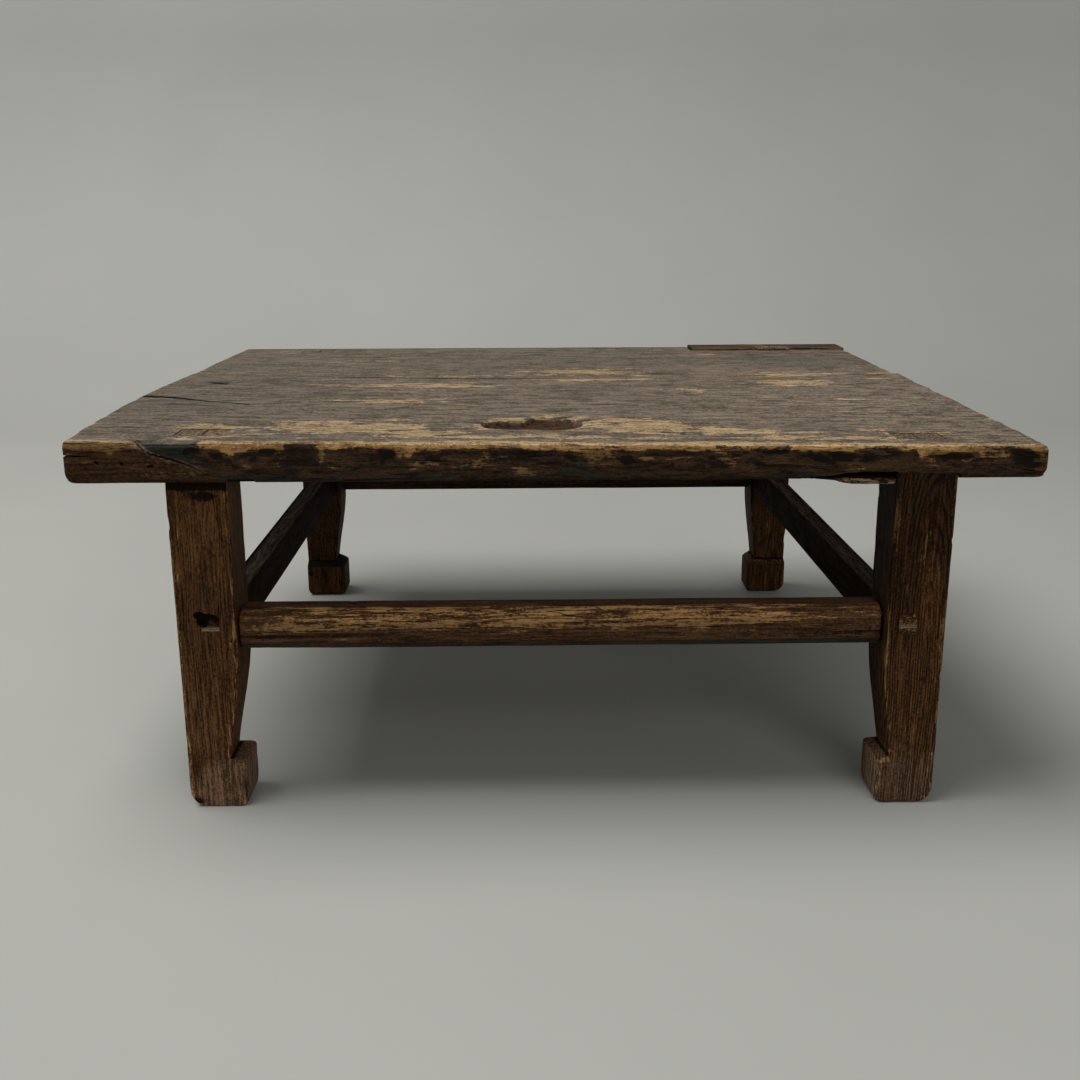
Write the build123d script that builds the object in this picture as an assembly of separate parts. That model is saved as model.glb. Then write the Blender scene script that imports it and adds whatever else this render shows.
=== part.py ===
"""Kang table: a low plank table with wedged through tenons and inturned hoof feet.

Two thick planks lie edge to edge along X. Four legs rise through them and end in
wedged tenons flush with the top. Four stretchers at one level brace the legs.
Front is -Y, up is +Z, and the origin lies on the floor under the middle of the top.
"""

import os
from math import cos, radians, sin, sqrt

from build123d import *

os.makedirs("parts", exist_ok=True)

# ---------------------------------------------------------------- driving sizes (mm)
# Top
top_length = 869
top_depth = 750
underside_height = 313
front_thickness_left = 38
front_thickness_right = 30
crown_thickness_left = 42
crown_thickness_right = 37
back_thickness = 39
left_end_bow = 7
right_end_step = 9
right_end_skew = 5
seam_end_position = 441
seam_bow = 50
seam_gap = 0.3
corner_radius_right = 22
corner_radius_left = 8
corner_radius_back = 6
arris_radius_front = 6
arris_radius_back = 3
arris_radius_under = 4

# Wear and damage in the front plank, placed from its front edge and left end
hollow_depth = 6
large_lobe_position = 96
large_lobe_length = 62
large_lobe_width = 64
small_lobe_position = 74
small_lobe_offset = 47
small_lobe_length = 40
small_lobe_width = 26
crack_position = 247
crack_length = 126
crack_drift = 48
crack_width = 3.5
crack_depth = 14
check_run = 24
check_depth = 60
check_height = 1.6
wane_depth = 4
wane_radius = 45
wane_run = 50
wane_slope = 22
notch_gap = 3
notch_length = 24
notch_height = 4
notch_depth = 7
sliver_drop = 5.5
sliver_depth = 26
sliver_length = 82

# Legs
leg_size = 55
left_overhang = 91
right_overhang = 79
front_setback_left = 9
front_setback_right = 2
back_setback = 22
leg_housing = 5
hoof_height = 49
hoof_toe_radius = 17
hoof_heel_chamfer = 10
waist_depth_left = 14
waist_depth_right = 11
leg_arris = 1.2

# Leg tenons in the top
top_tenon_width = 42
top_tenon_flare = 3
top_tenon_depth = 28
top_tenon_inset = 24
back_tenon_inset = 8

# Stretchers
stretcher_bottom = 153.5
stretcher_height = 39
long_stretcher_thickness = 34
long_stretcher_inset = 3
long_stretcher_round = 14
long_stretcher_bevel = 8
side_stretcher_thickness = 26
left_stretcher_inset = 6
right_stretcher_inset = 2
left_stretcher_wear = 9
right_stretcher_wear = 13
stretcher_arris = 2.5

# Stretcher tenons
side_tenon_thickness = 16
side_tenon_height = 19
tongue_thickness = 16
tongue_height = 10.5
tongue_rise = 4
stub_length = 8
shrunk_tenon_shortfall = 7

# Wedges, nails and hidden parts
wedge_length = 24
wedge_head = 4.2
wedge_tip = 1.2
side_wedge_head = 3.2
side_wedge_rise = 0.4
seam_tenon_count = 5
seam_tenon_spacing = 150
seam_tenon_width = 36
seam_tenon_length = 60
seam_tenon_thickness = 11
key_count = 3
key_spacing = 290
key_length = 84
key_end_width = 40
key_waist_width = 22
key_thickness = 10
nail_length = 20
nail_diameter = 2.4
nail_head_diameter = 4.6
nail_head_thickness = 1.2
nail_slant = 37
nail_count = 2
nail_offset = 9
nail_step = 10.4
nail_stagger = 3

# Repair strip let into the back edge
strip_length = 214
strip_width = 50
strip_thickness = 15
strip_proud = 3

# Clearance between seated pieces
fit_gap = 0.2

# ---------------------------------------------------------------- derived positions
half_length = top_length / 2
half_depth = top_depth / 2
front_face = -half_depth
back_face = half_depth
left_outer = -half_length + left_overhang
right_outer = half_length - right_overhang
leg_shoulder = underside_height + leg_housing
high = underside_height + 2 * crown_thickness_left
seam_mid_y = front_face + seam_end_position - seam_bow
seam_radius = (half_length**2 + seam_bow**2) / (2 * seam_bow)
tongue_bottom = stretcher_bottom + tongue_rise
side_tenon_bottom = tongue_bottom + tongue_height + fit_gap
side_tenon_top = side_tenon_bottom + side_tenon_height


def seam_y(x):
    """Y of the bowed seam at a given x."""
    return seam_mid_y + seam_radius - sqrt(seam_radius**2 - x**2)


def block(x0, x1, y0, y1, z0, z1):
    """Block given by its limits along X, Y and Z."""
    middle = Pos((x0 + x1) / 2, (y0 + y1) / 2, (z0 + z1) / 2)
    return middle * Box(abs(x1 - x0), abs(y1 - y0), abs(z1 - z0))


def round_corner(outline, corner, radius):
    """Round the corner of a flat outline that lies nearest to a point."""
    target = Vector(*corner)
    nearest = min(outline.vertices(), key=lambda v: (Vector(*v) - target).length)
    return fillet(nearest, radius)


def plate(points, plane, depth):
    """Straight-sided plate: a closed polygon on a plane, extruded by a depth."""
    return extrude(plane * make_face(Polyline(*points, close=True)), depth)


# ---------------------------------------------------------------- top
def top_section(x, front_thickness, crown_thickness):
    """Section of the whole top at x, with its crowned upper face."""
    edges = Polyline(
        (front_face, front_thickness),
        (front_face, 0),
        (back_face, 0),
        (back_face, back_thickness),
    )
    crown = ThreePointArc(
        (front_face, front_thickness),
        (seam_mid_y, crown_thickness),
        (back_face, back_thickness),
    )
    plane = Plane((x, 0, underside_height), x_dir=(0, 1, 0), z_dir=(1, 0, 0))
    return plane * make_face(edges + crown)


def upright(outline):
    """Flat plan outline raised through the full height of the top."""
    return extrude(Pos(0, 0, underside_height - 1) * outline, high - underside_height)


def ahead_of_seam(offset):
    """Everything in front of the bowed seam, with the seam shifted back by an offset."""
    end_y = seam_y(half_length) + offset
    seam = ThreePointArc((half_length, end_y), (0, seam_mid_y + offset), (-half_length, end_y))
    rim = Polyline(
        (-half_length, end_y),
        (-half_length, front_face),
        (half_length, front_face),
        (half_length, end_y),
    )
    return upright(make_face(seam + rim))


def front_plan():
    """Plan of the front plank's ends: bowed on the left, round-cornered on the right."""
    end_y = seam_y(half_length) + seam_gap
    corner_x = -half_length + left_end_bow
    bowed_end = ThreePointArc(
        (corner_x, end_y),
        (-half_length, (end_y + front_face) / 2),
        (corner_x, front_face),
    )
    rim = Polyline(
        (corner_x, front_face),
        (half_length, front_face),
        (half_length, end_y),
        (corner_x, end_y),
    )
    outline = Sketch() + make_face(bowed_end + rim)
    outline = round_corner(outline, (half_length, front_face), corner_radius_right)
    return round_corner(outline, (corner_x, front_face), corner_radius_left)


def back_plan():
    """Plan of the back plank's ends, stepped in on the right and a little out of square."""
    left_x = -half_length + left_end_bow
    right_x = half_length - right_end_step
    corners = [
        (left_x + 3, seam_mid_y),
        (left_x, back_face),
        (right_x + right_end_skew, back_face),
        (right_x, seam_mid_y),
    ]
    outline = Sketch() + make_face(Polyline(*corners, close=True))
    outline = round_corner(outline, corners[1], corner_radius_back)
    return round_corner(outline, corners[2], corner_radius_back)


def ease_rim(plank, upper_radius, under_radius):
    """Round the upper and lower arrises that run round the free sides of a plank."""
    middle = underside_height + front_thickness_right / 2
    for is_upper, radius in ((True, upper_radius), (False, under_radius)):
        rim = []
        for edge in plank.edges():
            point = edge @ 0.5
            is_level = edge.bounding_box().size.Z < 0.3 * front_thickness_right
            on_seam = abs(point.Y - seam_y(point.X)) < 1
            if is_level and not on_seam and (point.Z > middle) == is_upper:
                rim.append(edge)
        plank = fillet(rim, radius)
    return plank


def make_planks():
    """The whole slab, and the front and back planks cut from it along the bowed seam."""
    slab = loft(
        [
            top_section(-half_length, front_thickness_left, crown_thickness_left),
            top_section(half_length, front_thickness_right, crown_thickness_right),
        ],
        ruled=True,
    )
    front = slab & ahead_of_seam(-seam_gap / 2) & upright(front_plan())
    back = (slab & upright(back_plan())) - ahead_of_seam(seam_gap / 2)
    front = ease_rim(front, arris_radius_front, arris_radius_under)
    back = ease_rim(back, arris_radius_back, arris_radius_under)
    return slab, front, back


def hollow_lobe(x, position, length, width):
    """One dished lobe of the worn knot hollow, at a position behind the front edge."""
    middle = Pos(x, front_face + position, underside_height + crown_thickness_right)
    rim = middle * Ellipse(length / 2, width / 2)
    floor = Ellipse(length / 2 - hollow_depth, width / 2 - hollow_depth)
    floor = middle * Pos(0, 0, -hollow_depth) * floor
    return loft([rim, floor], ruled=True) + extrude(rim, hollow_depth)


def top_crack():
    """Open split in the upper face: a slim wedge, widest at the left end."""
    base = Plane.XY.offset(underside_height + crown_thickness_left - crack_depth)
    start_x = -half_length - 1
    start_y = front_face + crack_position
    turn = (start_x + 0.36 * crack_length, start_y - 0.44 * crack_drift)
    outline = [
        (start_x, start_y - crack_width / 2),
        (turn[0], turn[1] - crack_width / 3),
        (start_x + crack_length, start_y - crack_drift),
        (turn[0], turn[1] + crack_width / 3),
        (start_x, start_y + crack_width / 2),
    ]
    return plate(outline, base, 2 * crack_depth)


def end_check():
    """Drying check in the left end grain, tapering out along the front edge."""
    base = Plane.XY.offset(underside_height + 0.66 * front_thickness_left)
    corner_x = -half_length + left_end_bow
    outline = [
        (-half_length - 1, front_face - 1),
        (corner_x + check_run, front_face - 1),
        (corner_x, front_face + check_depth),
        (-half_length - 1, front_face + check_depth),
    ]
    return plate(outline, base, check_height)


def broken_notch():
    """Chip broken out of the lower front arris beside the left leg."""
    start_x = left_outer + leg_size + notch_gap
    return block(
        start_x,
        start_x + notch_length,
        front_face - 1,
        front_face + notch_depth,
        underside_height - 1,
        underside_height + notch_height,
    )


def wane_cut():
    """Half cylinder that hollows the front arris above a slanting split."""
    split = Plane(
        (left_outer + 4, front_face, underside_height + 0.63 * front_thickness_left),
        x_dir=(sin(radians(wane_slope)), 0, cos(radians(wane_slope))),
        z_dir=(cos(radians(wane_slope)), 0, -sin(radians(wane_slope))),
    )
    disc = Pos(0, wane_radius - wane_depth) * Circle(wane_radius)
    upper_half = Pos(wane_radius / 2, 0) * Rectangle(wane_radius, 4 * wane_radius)
    return extrude(split * (disc & upper_half), wane_run, both=True)


def sliver_opening_and_lip():
    """Delaminated splinter under the front arris: the split above it and the sagging lip."""
    base = Plane.XZ.offset(half_depth)
    tip_x = right_outer - leg_size - fit_gap
    root_x = tip_x - sliver_length
    under = underside_height
    split = [
        (root_x, under + 3),
        (tip_x + 1, under + sliver_drop),
        (tip_x + 1, under - 1),
        (root_x, under - 1),
    ]
    lip = [
        (root_x - 16, under),
        (root_x - 16, under + 3),
        (root_x, under + 3),
        (tip_x - 12, under),
        (tip_x, under - 0.5),
        (tip_x, under - sliver_drop),
        (tip_x - 45, under - sliver_drop),
        (root_x + 10, under - 0.4 * sliver_drop),
    ]
    opening = plate(split, base, -sliver_depth)
    lip = Pos(0, 1.5, 0) * plate(lip, base, -sliver_depth + 3)
    return opening, lip


# ---------------------------------------------------------------- legs
def leg_outline(waist_depth):
    """Side outline of a leg: straight outside, waisted inside down to a hoof."""
    ankle = leg_size - waist_depth
    shaft = Polyline(
        (leg_size, stretcher_bottom),
        (leg_size, leg_shoulder),
        (0, leg_shoulder),
        (0, hoof_heel_chamfer),
        (0.8 * hoof_heel_chamfer, 0),
        (leg_size - hoof_toe_radius, 0),
    )
    toe = RadiusArc(
        (leg_size - hoof_toe_radius, 0),
        (leg_size, hoof_toe_radius),
        -hoof_toe_radius,
    )
    ledge = Polyline((leg_size, hoof_toe_radius), (leg_size, hoof_height), (ankle, hoof_height))
    waist = Spline(
        (ankle, hoof_height),
        (leg_size, stretcher_bottom),
        tangents=[(0.12, 1), (0, 1)],
    )
    return make_face(shaft + toe + ledge + waist)


def leg_blank(waist_depth):
    """Leg with its outer corner on the Z axis, hoof turned in on both inner sides."""
    across = extrude(Plane.XZ * leg_outline(waist_depth), -leg_size)
    along = mirror(across, about=Plane((0, 0, 0), z_dir=(1, -1, 0)))
    column = Pos(leg_size / 2, leg_size / 2, 0) * RectangleRounded(leg_size, leg_size, leg_arris)
    return across & along & extrude(column, leg_shoulder)


def stand(shape, leg):
    """Carry a shape from the corner frame of a leg to that leg's place under the top."""
    if leg["side"] == "right":
        shape = mirror(shape, about=Plane.YZ)
    if leg["end"] == "back":
        shape = mirror(shape, about=Plane.XZ)
    return Pos(leg["x"], leg["y"], 0) * shape


def tenon_prism(inset, clearance):
    """Leg tenon in the corner frame, flaring along the grain of the top."""
    y = inset + top_tenon_depth / 2
    grow = 2 * clearance
    rise = high - leg_shoulder
    flare = top_tenon_flare * rise / crown_thickness_left
    foot = Pos(leg_size / 2, y, leg_shoulder)
    head = Pos(leg_size / 2, y, high)
    return loft(
        [
            foot * Rectangle(top_tenon_width + grow, top_tenon_depth + grow),
            head * Rectangle(top_tenon_width + flare + grow, top_tenon_depth + grow),
        ],
        ruled=True,
    )


def top_wedge(inset, top_height):
    """Wedge driven down into the middle of a leg tenon, in the corner frame."""
    y = inset + top_tenon_depth / 2
    head = Pos(leg_size / 2, y, top_height) * Rectangle(wedge_head, top_tenon_depth)
    tip = Pos(leg_size / 2, y, top_height - wedge_length) * Rectangle(wedge_tip, top_tenon_depth)
    return loft([head, tip], ruled=True)


# ---------------------------------------------------------------- stretchers
def long_stretcher_section():
    """Section of a front or back stretcher: y inward from its outer face, z up."""
    t = long_stretcher_thickness
    h = stretcher_height
    b = long_stretcher_bevel
    corners = [(0, b), (0, h), (t, h), (t, 0), (0.8 * b, 0)]
    outline = Sketch() + make_face(Polyline(*corners, close=True))
    outline = round_corner(outline, (0, h), long_stretcher_round)
    outline = round_corner(outline, (t, h), 2 * stretcher_arris)
    return round_corner(outline, (t, 0), stretcher_arris)


def side_stretcher_section(wear):
    """Section of a side stretcher: x inward from its outer face, upper outside worn off."""
    t = side_stretcher_thickness
    h = stretcher_height
    corners = [(0, 0), (0, h - 1.1 * wear), (wear, h), (t, h), (t, 0)]
    outline = Sketch() + make_face(Polyline(*corners, close=True))
    outline = round_corner(outline, (wear, h), stretcher_arris)
    outline = round_corner(outline, (t, h), stretcher_arris)
    return round_corner(outline, (0, 0), stretcher_arris)


def cross_wedge(thickness):
    """Small wedge lying level, its head at the origin and its tip along +X."""
    head = Plane.YZ * Rectangle(thickness, side_wedge_head)
    tip = Plane.YZ.offset(wedge_length) * Rectangle(thickness, wedge_tip)
    return loft([head, tip], ruled=True)


def toe_nail(x, y, height):
    """Nail driven at a slant through the shoulder of the front stretcher into the leg."""
    aim = (cos(radians(nail_slant)), sin(radians(nail_slant)), 0)
    start = Plane((x, y, height), z_dir=aim)
    shank = extrude(start * Circle(nail_diameter / 2), nail_length)
    head = extrude(start * Circle(nail_head_diameter / 2), nail_head_thickness)
    return shank + head


# ---------------------------------------------------------------- seam hardware
def seam_tenon(x, clearance):
    """Loose tenon bridging the seam inside the two planks."""
    width = seam_tenon_width + 2 * clearance
    length = seam_tenon_length + 2 * clearance
    thickness = seam_tenon_thickness + 2 * clearance
    height = underside_height + 0.55 * crown_thickness_right
    return Pos(x, seam_y(x), height) * Box(width, length, thickness)


def butterfly_key(x, clearance):
    """Double dovetail let up into the underside across the seam."""
    end = key_end_width / 2 + clearance
    waist = key_waist_width / 2 + clearance
    reach = key_length / 2 + clearance
    tails = [(-end, -reach), (end, -reach), (waist, 0), (end, reach), (-end, reach), (-waist, 0)]
    base = Plane((x, seam_y(x), underside_height))
    return plate(tails, base, key_thickness + clearance)


def repair_strip(top_height):
    """Strip let into the back arris, its ends cut to the plan of the back plank."""
    left_x = half_length - right_end_step - strip_length
    upper = top_height + strip_proud
    blank = block(
        left_x,
        half_length,
        back_face - strip_width,
        back_face,
        upper - strip_thickness,
        upper,
    )
    return blank & upright(back_plan())


# ---------------------------------------------------------------- places
def flank(shape, side):
    """Carry a shape drawn inward from the outer side of the left legs to either side."""
    if side == "right":
        return Pos(right_outer, 0, 0) * mirror(shape, about=Plane.YZ)
    return Pos(left_outer, 0, 0) * shape


def fore_and_aft(shape, end):
    """Carry a shape drawn inward from the face of the front stretcher to either end."""
    if end == "back":
        return Pos(0, back_stretcher_y, 0) * mirror(shape, about=Plane.XZ)
    return Pos(0, front_stretcher_y, 0) * shape


# ---------------------------------------------------------------- assembly
leg_y = {
    ("front", "left"): front_face + front_setback_left,
    ("front", "right"): front_face + front_setback_right,
    ("back", "left"): back_face - back_setback,
    ("back", "right"): back_face - back_setback,
}
front_stretcher_y = leg_y["front", "left"] + long_stretcher_inset
back_stretcher_y = leg_y["back", "left"] - long_stretcher_inset

slab, front_plank, back_plank = make_planks()
planks = {"front": front_plank, "back": back_plank}

strip = repair_strip(underside_height + back_thickness)
planks["back"] -= strip
upper_rim = strip.edges().group_by(Axis.Z)[-1]
strip = fillet(upper_rim, strip_proud / 2)

# Legs rise through the planks; each tenon is cut off level with the upper face.
legs = {}
top_wedges = []
for (end, side), y in leg_y.items():
    leg = {"end": end, "side": side, "x": left_outer, "y": y}
    waist = waist_depth_left
    if side == "right":
        leg["x"] = right_outer
        waist = waist_depth_right
    inset = top_tenon_inset if end == "front" else back_tenon_inset
    lip = front_setback_right + 1 if (end, side) == ("front", "right") else fit_gap
    far = leg_size + fit_gap
    housing = block(-fit_gap, far, -lip, far, underside_height - 1, leg_shoulder)
    through = stand(tenon_prism(inset, fit_gap), leg)
    planks[end] -= stand(housing, leg)
    planks[end] -= through
    upper_face = slab
    if (end, side) == ("back", "right"):
        upper_face = slab + strip
        strip -= through
    tenon = stand(tenon_prism(inset, 0), leg) & upper_face
    wedge = stand(top_wedge(inset, tenon.bounding_box().max.Z), leg) & upper_face
    top_wedges.append(wedge)
    legs[end, side] = stand(leg_blank(waist), leg) + tenon - wedge

# Side stretchers run from leg to leg; their tenons show on the front and back faces.
side_stretchers = {}
stretcher_wedges = []
wedge_height = side_tenon_bottom + side_wedge_rise * side_tenon_height
for side in ("left", "right"):
    inset = left_stretcher_inset if side == "left" else right_stretcher_inset
    wear = left_stretcher_wear if side == "left" else right_stretcher_wear
    shortfall = shrunk_tenon_shortfall if side == "left" else fit_gap
    outer = leg_size - inset - side_stretcher_thickness
    tenon_limits = (outer, outer + side_tenon_thickness)
    front_y = leg_y["front", side]
    back_y = leg_y["back", side]
    span = (front_y + leg_size, back_y - leg_size)
    start = Plane((outer, span[0], stretcher_bottom), x_dir=(1, 0, 0), z_dir=(0, -1, 0))
    bar = extrude(start * side_stretcher_section(wear), span[0] - span[1])
    bar += block(*tenon_limits, front_y + shortfall, span[0], side_tenon_bottom, side_tenon_top)
    bar += block(*tenon_limits, span[1], back_y - fit_gap, side_tenon_bottom, side_tenon_top)
    bar = flank(bar, side)
    mortise = block(
        tenon_limits[0] - fit_gap,
        tenon_limits[1] + fit_gap,
        front_y - 1,
        back_y + 1,
        side_tenon_bottom - fit_gap,
        side_tenon_top + fit_gap,
    )
    middle = sum(tenon_limits) / 2
    for end, head_y, turn in (("front", front_y + fit_gap, 90), ("back", back_y - fit_gap, -90)):
        legs[end, side] -= flank(mortise, side)
        place = Pos(middle, head_y, wedge_height) * Rot(0, 0, turn)
        wedge = flank(place * cross_wedge(side_tenon_thickness), side)
        bar -= wedge
        stretcher_wedges.append(wedge)
    side_stretchers[side] = bar

# Front and back stretchers: a short stub meets the side tenon, a tongue passes below it.
long_stretchers = {}
shoulders = (left_outer + leg_size, right_outer - leg_size)
tongue_limits = (
    (long_stretcher_thickness - tongue_thickness) / 2,
    (long_stretcher_thickness + tongue_thickness) / 2,
)
for end in ("front", "back"):
    start = Plane((shoulders[0], 0, stretcher_bottom), x_dir=(0, 1, 0), z_dir=(1, 0, 0))
    bar = extrude(start * long_stretcher_section(), shoulders[1] - shoulders[0])
    bar += block(
        shoulders[0] - stub_length,
        shoulders[1] + stub_length,
        *tongue_limits,
        tongue_bottom,
        side_tenon_top,
    )
    bar += block(
        left_outer + fit_gap,
        right_outer - fit_gap,
        *tongue_limits,
        tongue_bottom,
        tongue_bottom + tongue_height,
    )
    loose_limits = (tongue_limits[0] - fit_gap, tongue_limits[1] + fit_gap)
    stub_mortise = block(
        shoulders[0] - stub_length - fit_gap,
        shoulders[1] + stub_length + fit_gap,
        *loose_limits,
        tongue_bottom - fit_gap,
        side_tenon_top + fit_gap,
    )
    tongue_mortise = block(
        left_outer - 1,
        right_outer + 1,
        *loose_limits,
        tongue_bottom - fit_gap,
        tongue_bottom + tongue_height + fit_gap,
    )
    tongue_middle = (sum(tongue_limits) / 2, tongue_bottom + tongue_height / 2)
    heads = {"left": (left_outer + fit_gap, 0), "right": (right_outer - fit_gap, 180)}
    for side, (head_x, turn) in heads.items():
        legs[end, side] -= fore_and_aft(stub_mortise, end)
        legs[end, side] -= fore_and_aft(tongue_mortise, end)
        wedge = Pos(head_x, *tongue_middle) * Rot(0, 0, turn) * cross_wedge(tongue_thickness)
        bar -= wedge
        stretcher_wedges.append(fore_and_aft(wedge, end))
    long_stretchers[end] = fore_and_aft(bar, end)

# Two nails pin the right shoulder of the front stretcher.
toe_nails = []
for index in range(nail_count):
    x = shoulders[1] - nail_offset + index * nail_stagger
    y = front_stretcher_y + index
    height = stretcher_bottom + stretcher_height / 2 + index * nail_step
    toe_nails.append(toe_nail(x, y, height))
for nail in toe_nails:
    long_stretchers["front"] -= nail
    legs["front", "right"] -= nail

# Loose tenons and butterfly keys hold the two planks together along the seam.
seam_tenons = []
for index in range(seam_tenon_count):
    x = (index - (seam_tenon_count - 1) / 2) * seam_tenon_spacing
    seam_tenons.append(seam_tenon(x, 0))
    for end in planks:
        planks[end] -= seam_tenon(x, fit_gap)
butterfly_keys = []
for index in range(key_count):
    x = (index - (key_count - 1) / 2) * key_spacing
    butterfly_keys.append(butterfly_key(x, 0))
    for end in planks:
        planks[end] -= butterfly_key(x, fit_gap)

# Wear and damage in the front plank.
large_lobe = hollow_lobe(0, large_lobe_position, large_lobe_length, large_lobe_width)
small_lobe = hollow_lobe(
    -small_lobe_offset,
    small_lobe_position,
    small_lobe_length,
    small_lobe_width,
)
for cut in (large_lobe, small_lobe, top_crack(), end_check(), wane_cut(), broken_notch()):
    planks["front"] -= cut
opening, lip = sliver_opening_and_lip()
planks["front"] = planks["front"] - opening + lip

nodes = {
    "front_plank": planks["front"],
    "back_plank": planks["back"],
    "repair_strip": strip,
    "leg_front_left": legs["front", "left"],
    "leg_front_right": legs["front", "right"],
    "leg_back_left": legs["back", "left"],
    "leg_back_right": legs["back", "right"],
    "stretcher_front": long_stretchers["front"],
    "stretcher_back": long_stretchers["back"],
    "stretcher_left": side_stretchers["left"],
    "stretcher_right": side_stretchers["right"],
    "top_wedges": Compound(children=top_wedges),
    "stretcher_wedges": Compound(children=stretcher_wedges),
    "seam_tenons": Compound(children=seam_tenons),
    "butterfly_keys": Compound(children=butterfly_keys),
    "toe_nails": Compound(children=toe_nails),
}
for name, shape in nodes.items():
    export_step(shape, f"parts/{name}.step")
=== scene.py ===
"""Kang table of old elm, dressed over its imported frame.

Laid out as an add-on and run as a script. Each piece has an operator that builds its
worn surface, and the operators run in order at the end. Lengths inside the shape
functions are in millimetres, and meshes are written in metres.
"""

from functools import reduce
from math import radians

import bpy
import numpy as np
from bpy.props import FloatProperty, FloatVectorProperty, PointerProperty
from mathutils import Matrix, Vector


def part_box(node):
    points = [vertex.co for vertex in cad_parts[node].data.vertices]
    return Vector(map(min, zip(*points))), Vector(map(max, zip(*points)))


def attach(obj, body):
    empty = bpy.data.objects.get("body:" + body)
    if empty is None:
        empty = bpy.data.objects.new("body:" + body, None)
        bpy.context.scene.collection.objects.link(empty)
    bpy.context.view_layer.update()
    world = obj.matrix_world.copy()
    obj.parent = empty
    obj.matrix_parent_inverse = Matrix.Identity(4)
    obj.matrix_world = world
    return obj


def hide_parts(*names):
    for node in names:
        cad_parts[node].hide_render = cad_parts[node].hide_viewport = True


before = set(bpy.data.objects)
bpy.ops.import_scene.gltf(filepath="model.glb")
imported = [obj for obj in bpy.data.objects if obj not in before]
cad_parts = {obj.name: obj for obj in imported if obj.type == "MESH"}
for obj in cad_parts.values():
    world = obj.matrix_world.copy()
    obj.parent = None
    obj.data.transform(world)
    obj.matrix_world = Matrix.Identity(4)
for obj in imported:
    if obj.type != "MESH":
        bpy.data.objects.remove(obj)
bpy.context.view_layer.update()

bl_info = {
    "name": "Kang Table",
    "version": (1, 0, 0),
    "blender": (4, 5, 0),
    "location": "View3D > Sidebar > Kang Table",
    "description": "Worn planks, hoof legs and stretchers of a low table in aged wood",
    "category": "Object",
}


# ---------------------------------------------------------------- places taken from the frame
def box_mm(node):
    """Lowest and highest corner of a frame node, in millimetres."""
    low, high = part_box(node)
    return np.array(low) * 1000, np.array(high) * 1000


SIDES = ("left", "right")
ENDS = ("front", "back")
LEG_BOXES = {(end, side): box_mm(f"leg_{end}_{side}") for end in ENDS for side in SIDES}
BAR_BOXES = {place: box_mm("stretcher_" + place) for place in ENDS + SIDES}
FRONT_LOW, FRONT_HIGH = box_mm("front_plank")
BACK_LOW, BACK_HIGH = box_mm("back_plank")
STRIP_LOW, STRIP_HIGH = box_mm("repair_strip")

FRONT_FACE, BACK_FACE = FRONT_LOW[1], BACK_HIGH[1]
LEFT_END, RIGHT_END = FRONT_LOW[0], FRONT_HIGH[0]
UNDERSIDE = BACK_LOW[2]
PLANK = 38.0  # thickness of the plain block that a plank is worked from
ABOVE = UNDERSIDE + 60  # a level over the whole table, where cuts from above end
SEAM_GAP = 0.15  # half the gap between the planks
SEAM_MIDDLE = BACK_LOW[1] - SEAM_GAP
SEAM_BOW = 50.0
END_BOW = 7.0
LEG_SIZE = 55.0
LEG_SHOULDER = UNDERSIDE + 5
TENON_WIDE, TENON_DEEP = 42.0, 28.0  # leg tenon at its shoulder, along X and Y
TENON_INSET = {"front": 24, "back": 8}  # from the leg's outer face
BAR_BOTTOM, BAR_TOP = BAR_BOXES["front"][0][2], BAR_BOXES["front"][1][2]
BAR_GAP = 1.1
TONGUE = (157.5, 168.0)  # foot and top of the long stretchers' tongues
SIDE_TENON = (168.2, 187.2)  # foot and top of the side stretchers' tenons
WEDGE_DEEP = 24  # how far a stretcher's wedge goes in
FACE_ON = (0, 2, 1)  # axes of a crack that is cut into the front


# ---------------------------------------------------------------- settings
def amount(name, description, default, **more):
    """Number property of one group."""
    return FloatProperty(name=name, description=description, default=default, **more)


def tone(name, description, default):
    """Colour property of one finish."""
    return FloatVectorProperty(
        name=name, description=description, subtype="COLOR", size=3, min=0, max=1, default=default
    )


class KangTopSettings(bpy.types.PropertyGroup):
    """Thicknesses and wear of the two planks."""

    front_left: amount("Front Edge, Left", "Front edge thickness at the left, mm", 38)
    front_right: amount("Front Edge, Right", "Front edge thickness at the right, mm", 30)
    crown_left: amount("Crown, Left", "Thickness at the seam by the left end, mm", 42)
    crown_right: amount("Crown, Right", "Thickness at the seam by the right end, mm", 37)
    back_edge: amount("Back Edge", "Thickness along the back edge, mm", 39)
    relief: amount("Relief", "Depth of the worn hollows in the upper face, mm", 0.9)
    hollow_depth: amount("Knot Hollow", "Depth of the worn knot hollow, mm", 6)


class KangLegSettings(bpy.types.PropertyGroup):
    """Profile and wear of the hoof legs."""

    hoof_height: amount("Hoof Height", "Height of the hoof ledge above the floor, mm", 49)
    ledge_fall: amount("Ledge Fall", "Fall of the hoof ledge from the waist to its rim, mm", 5)
    waist_left: amount("Waist, Left", "Depth of the left legs' waist above the hoof, mm", 14)
    waist_right: amount("Waist, Right", "Depth of the right legs' waist above the hoof, mm", 11)
    arris: amount("Arris", "Mean radius of the worn leg corners, mm", 2.6)
    relief: amount("Relief", "Depth of the wear on the leg faces, mm", 0.8)


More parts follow.
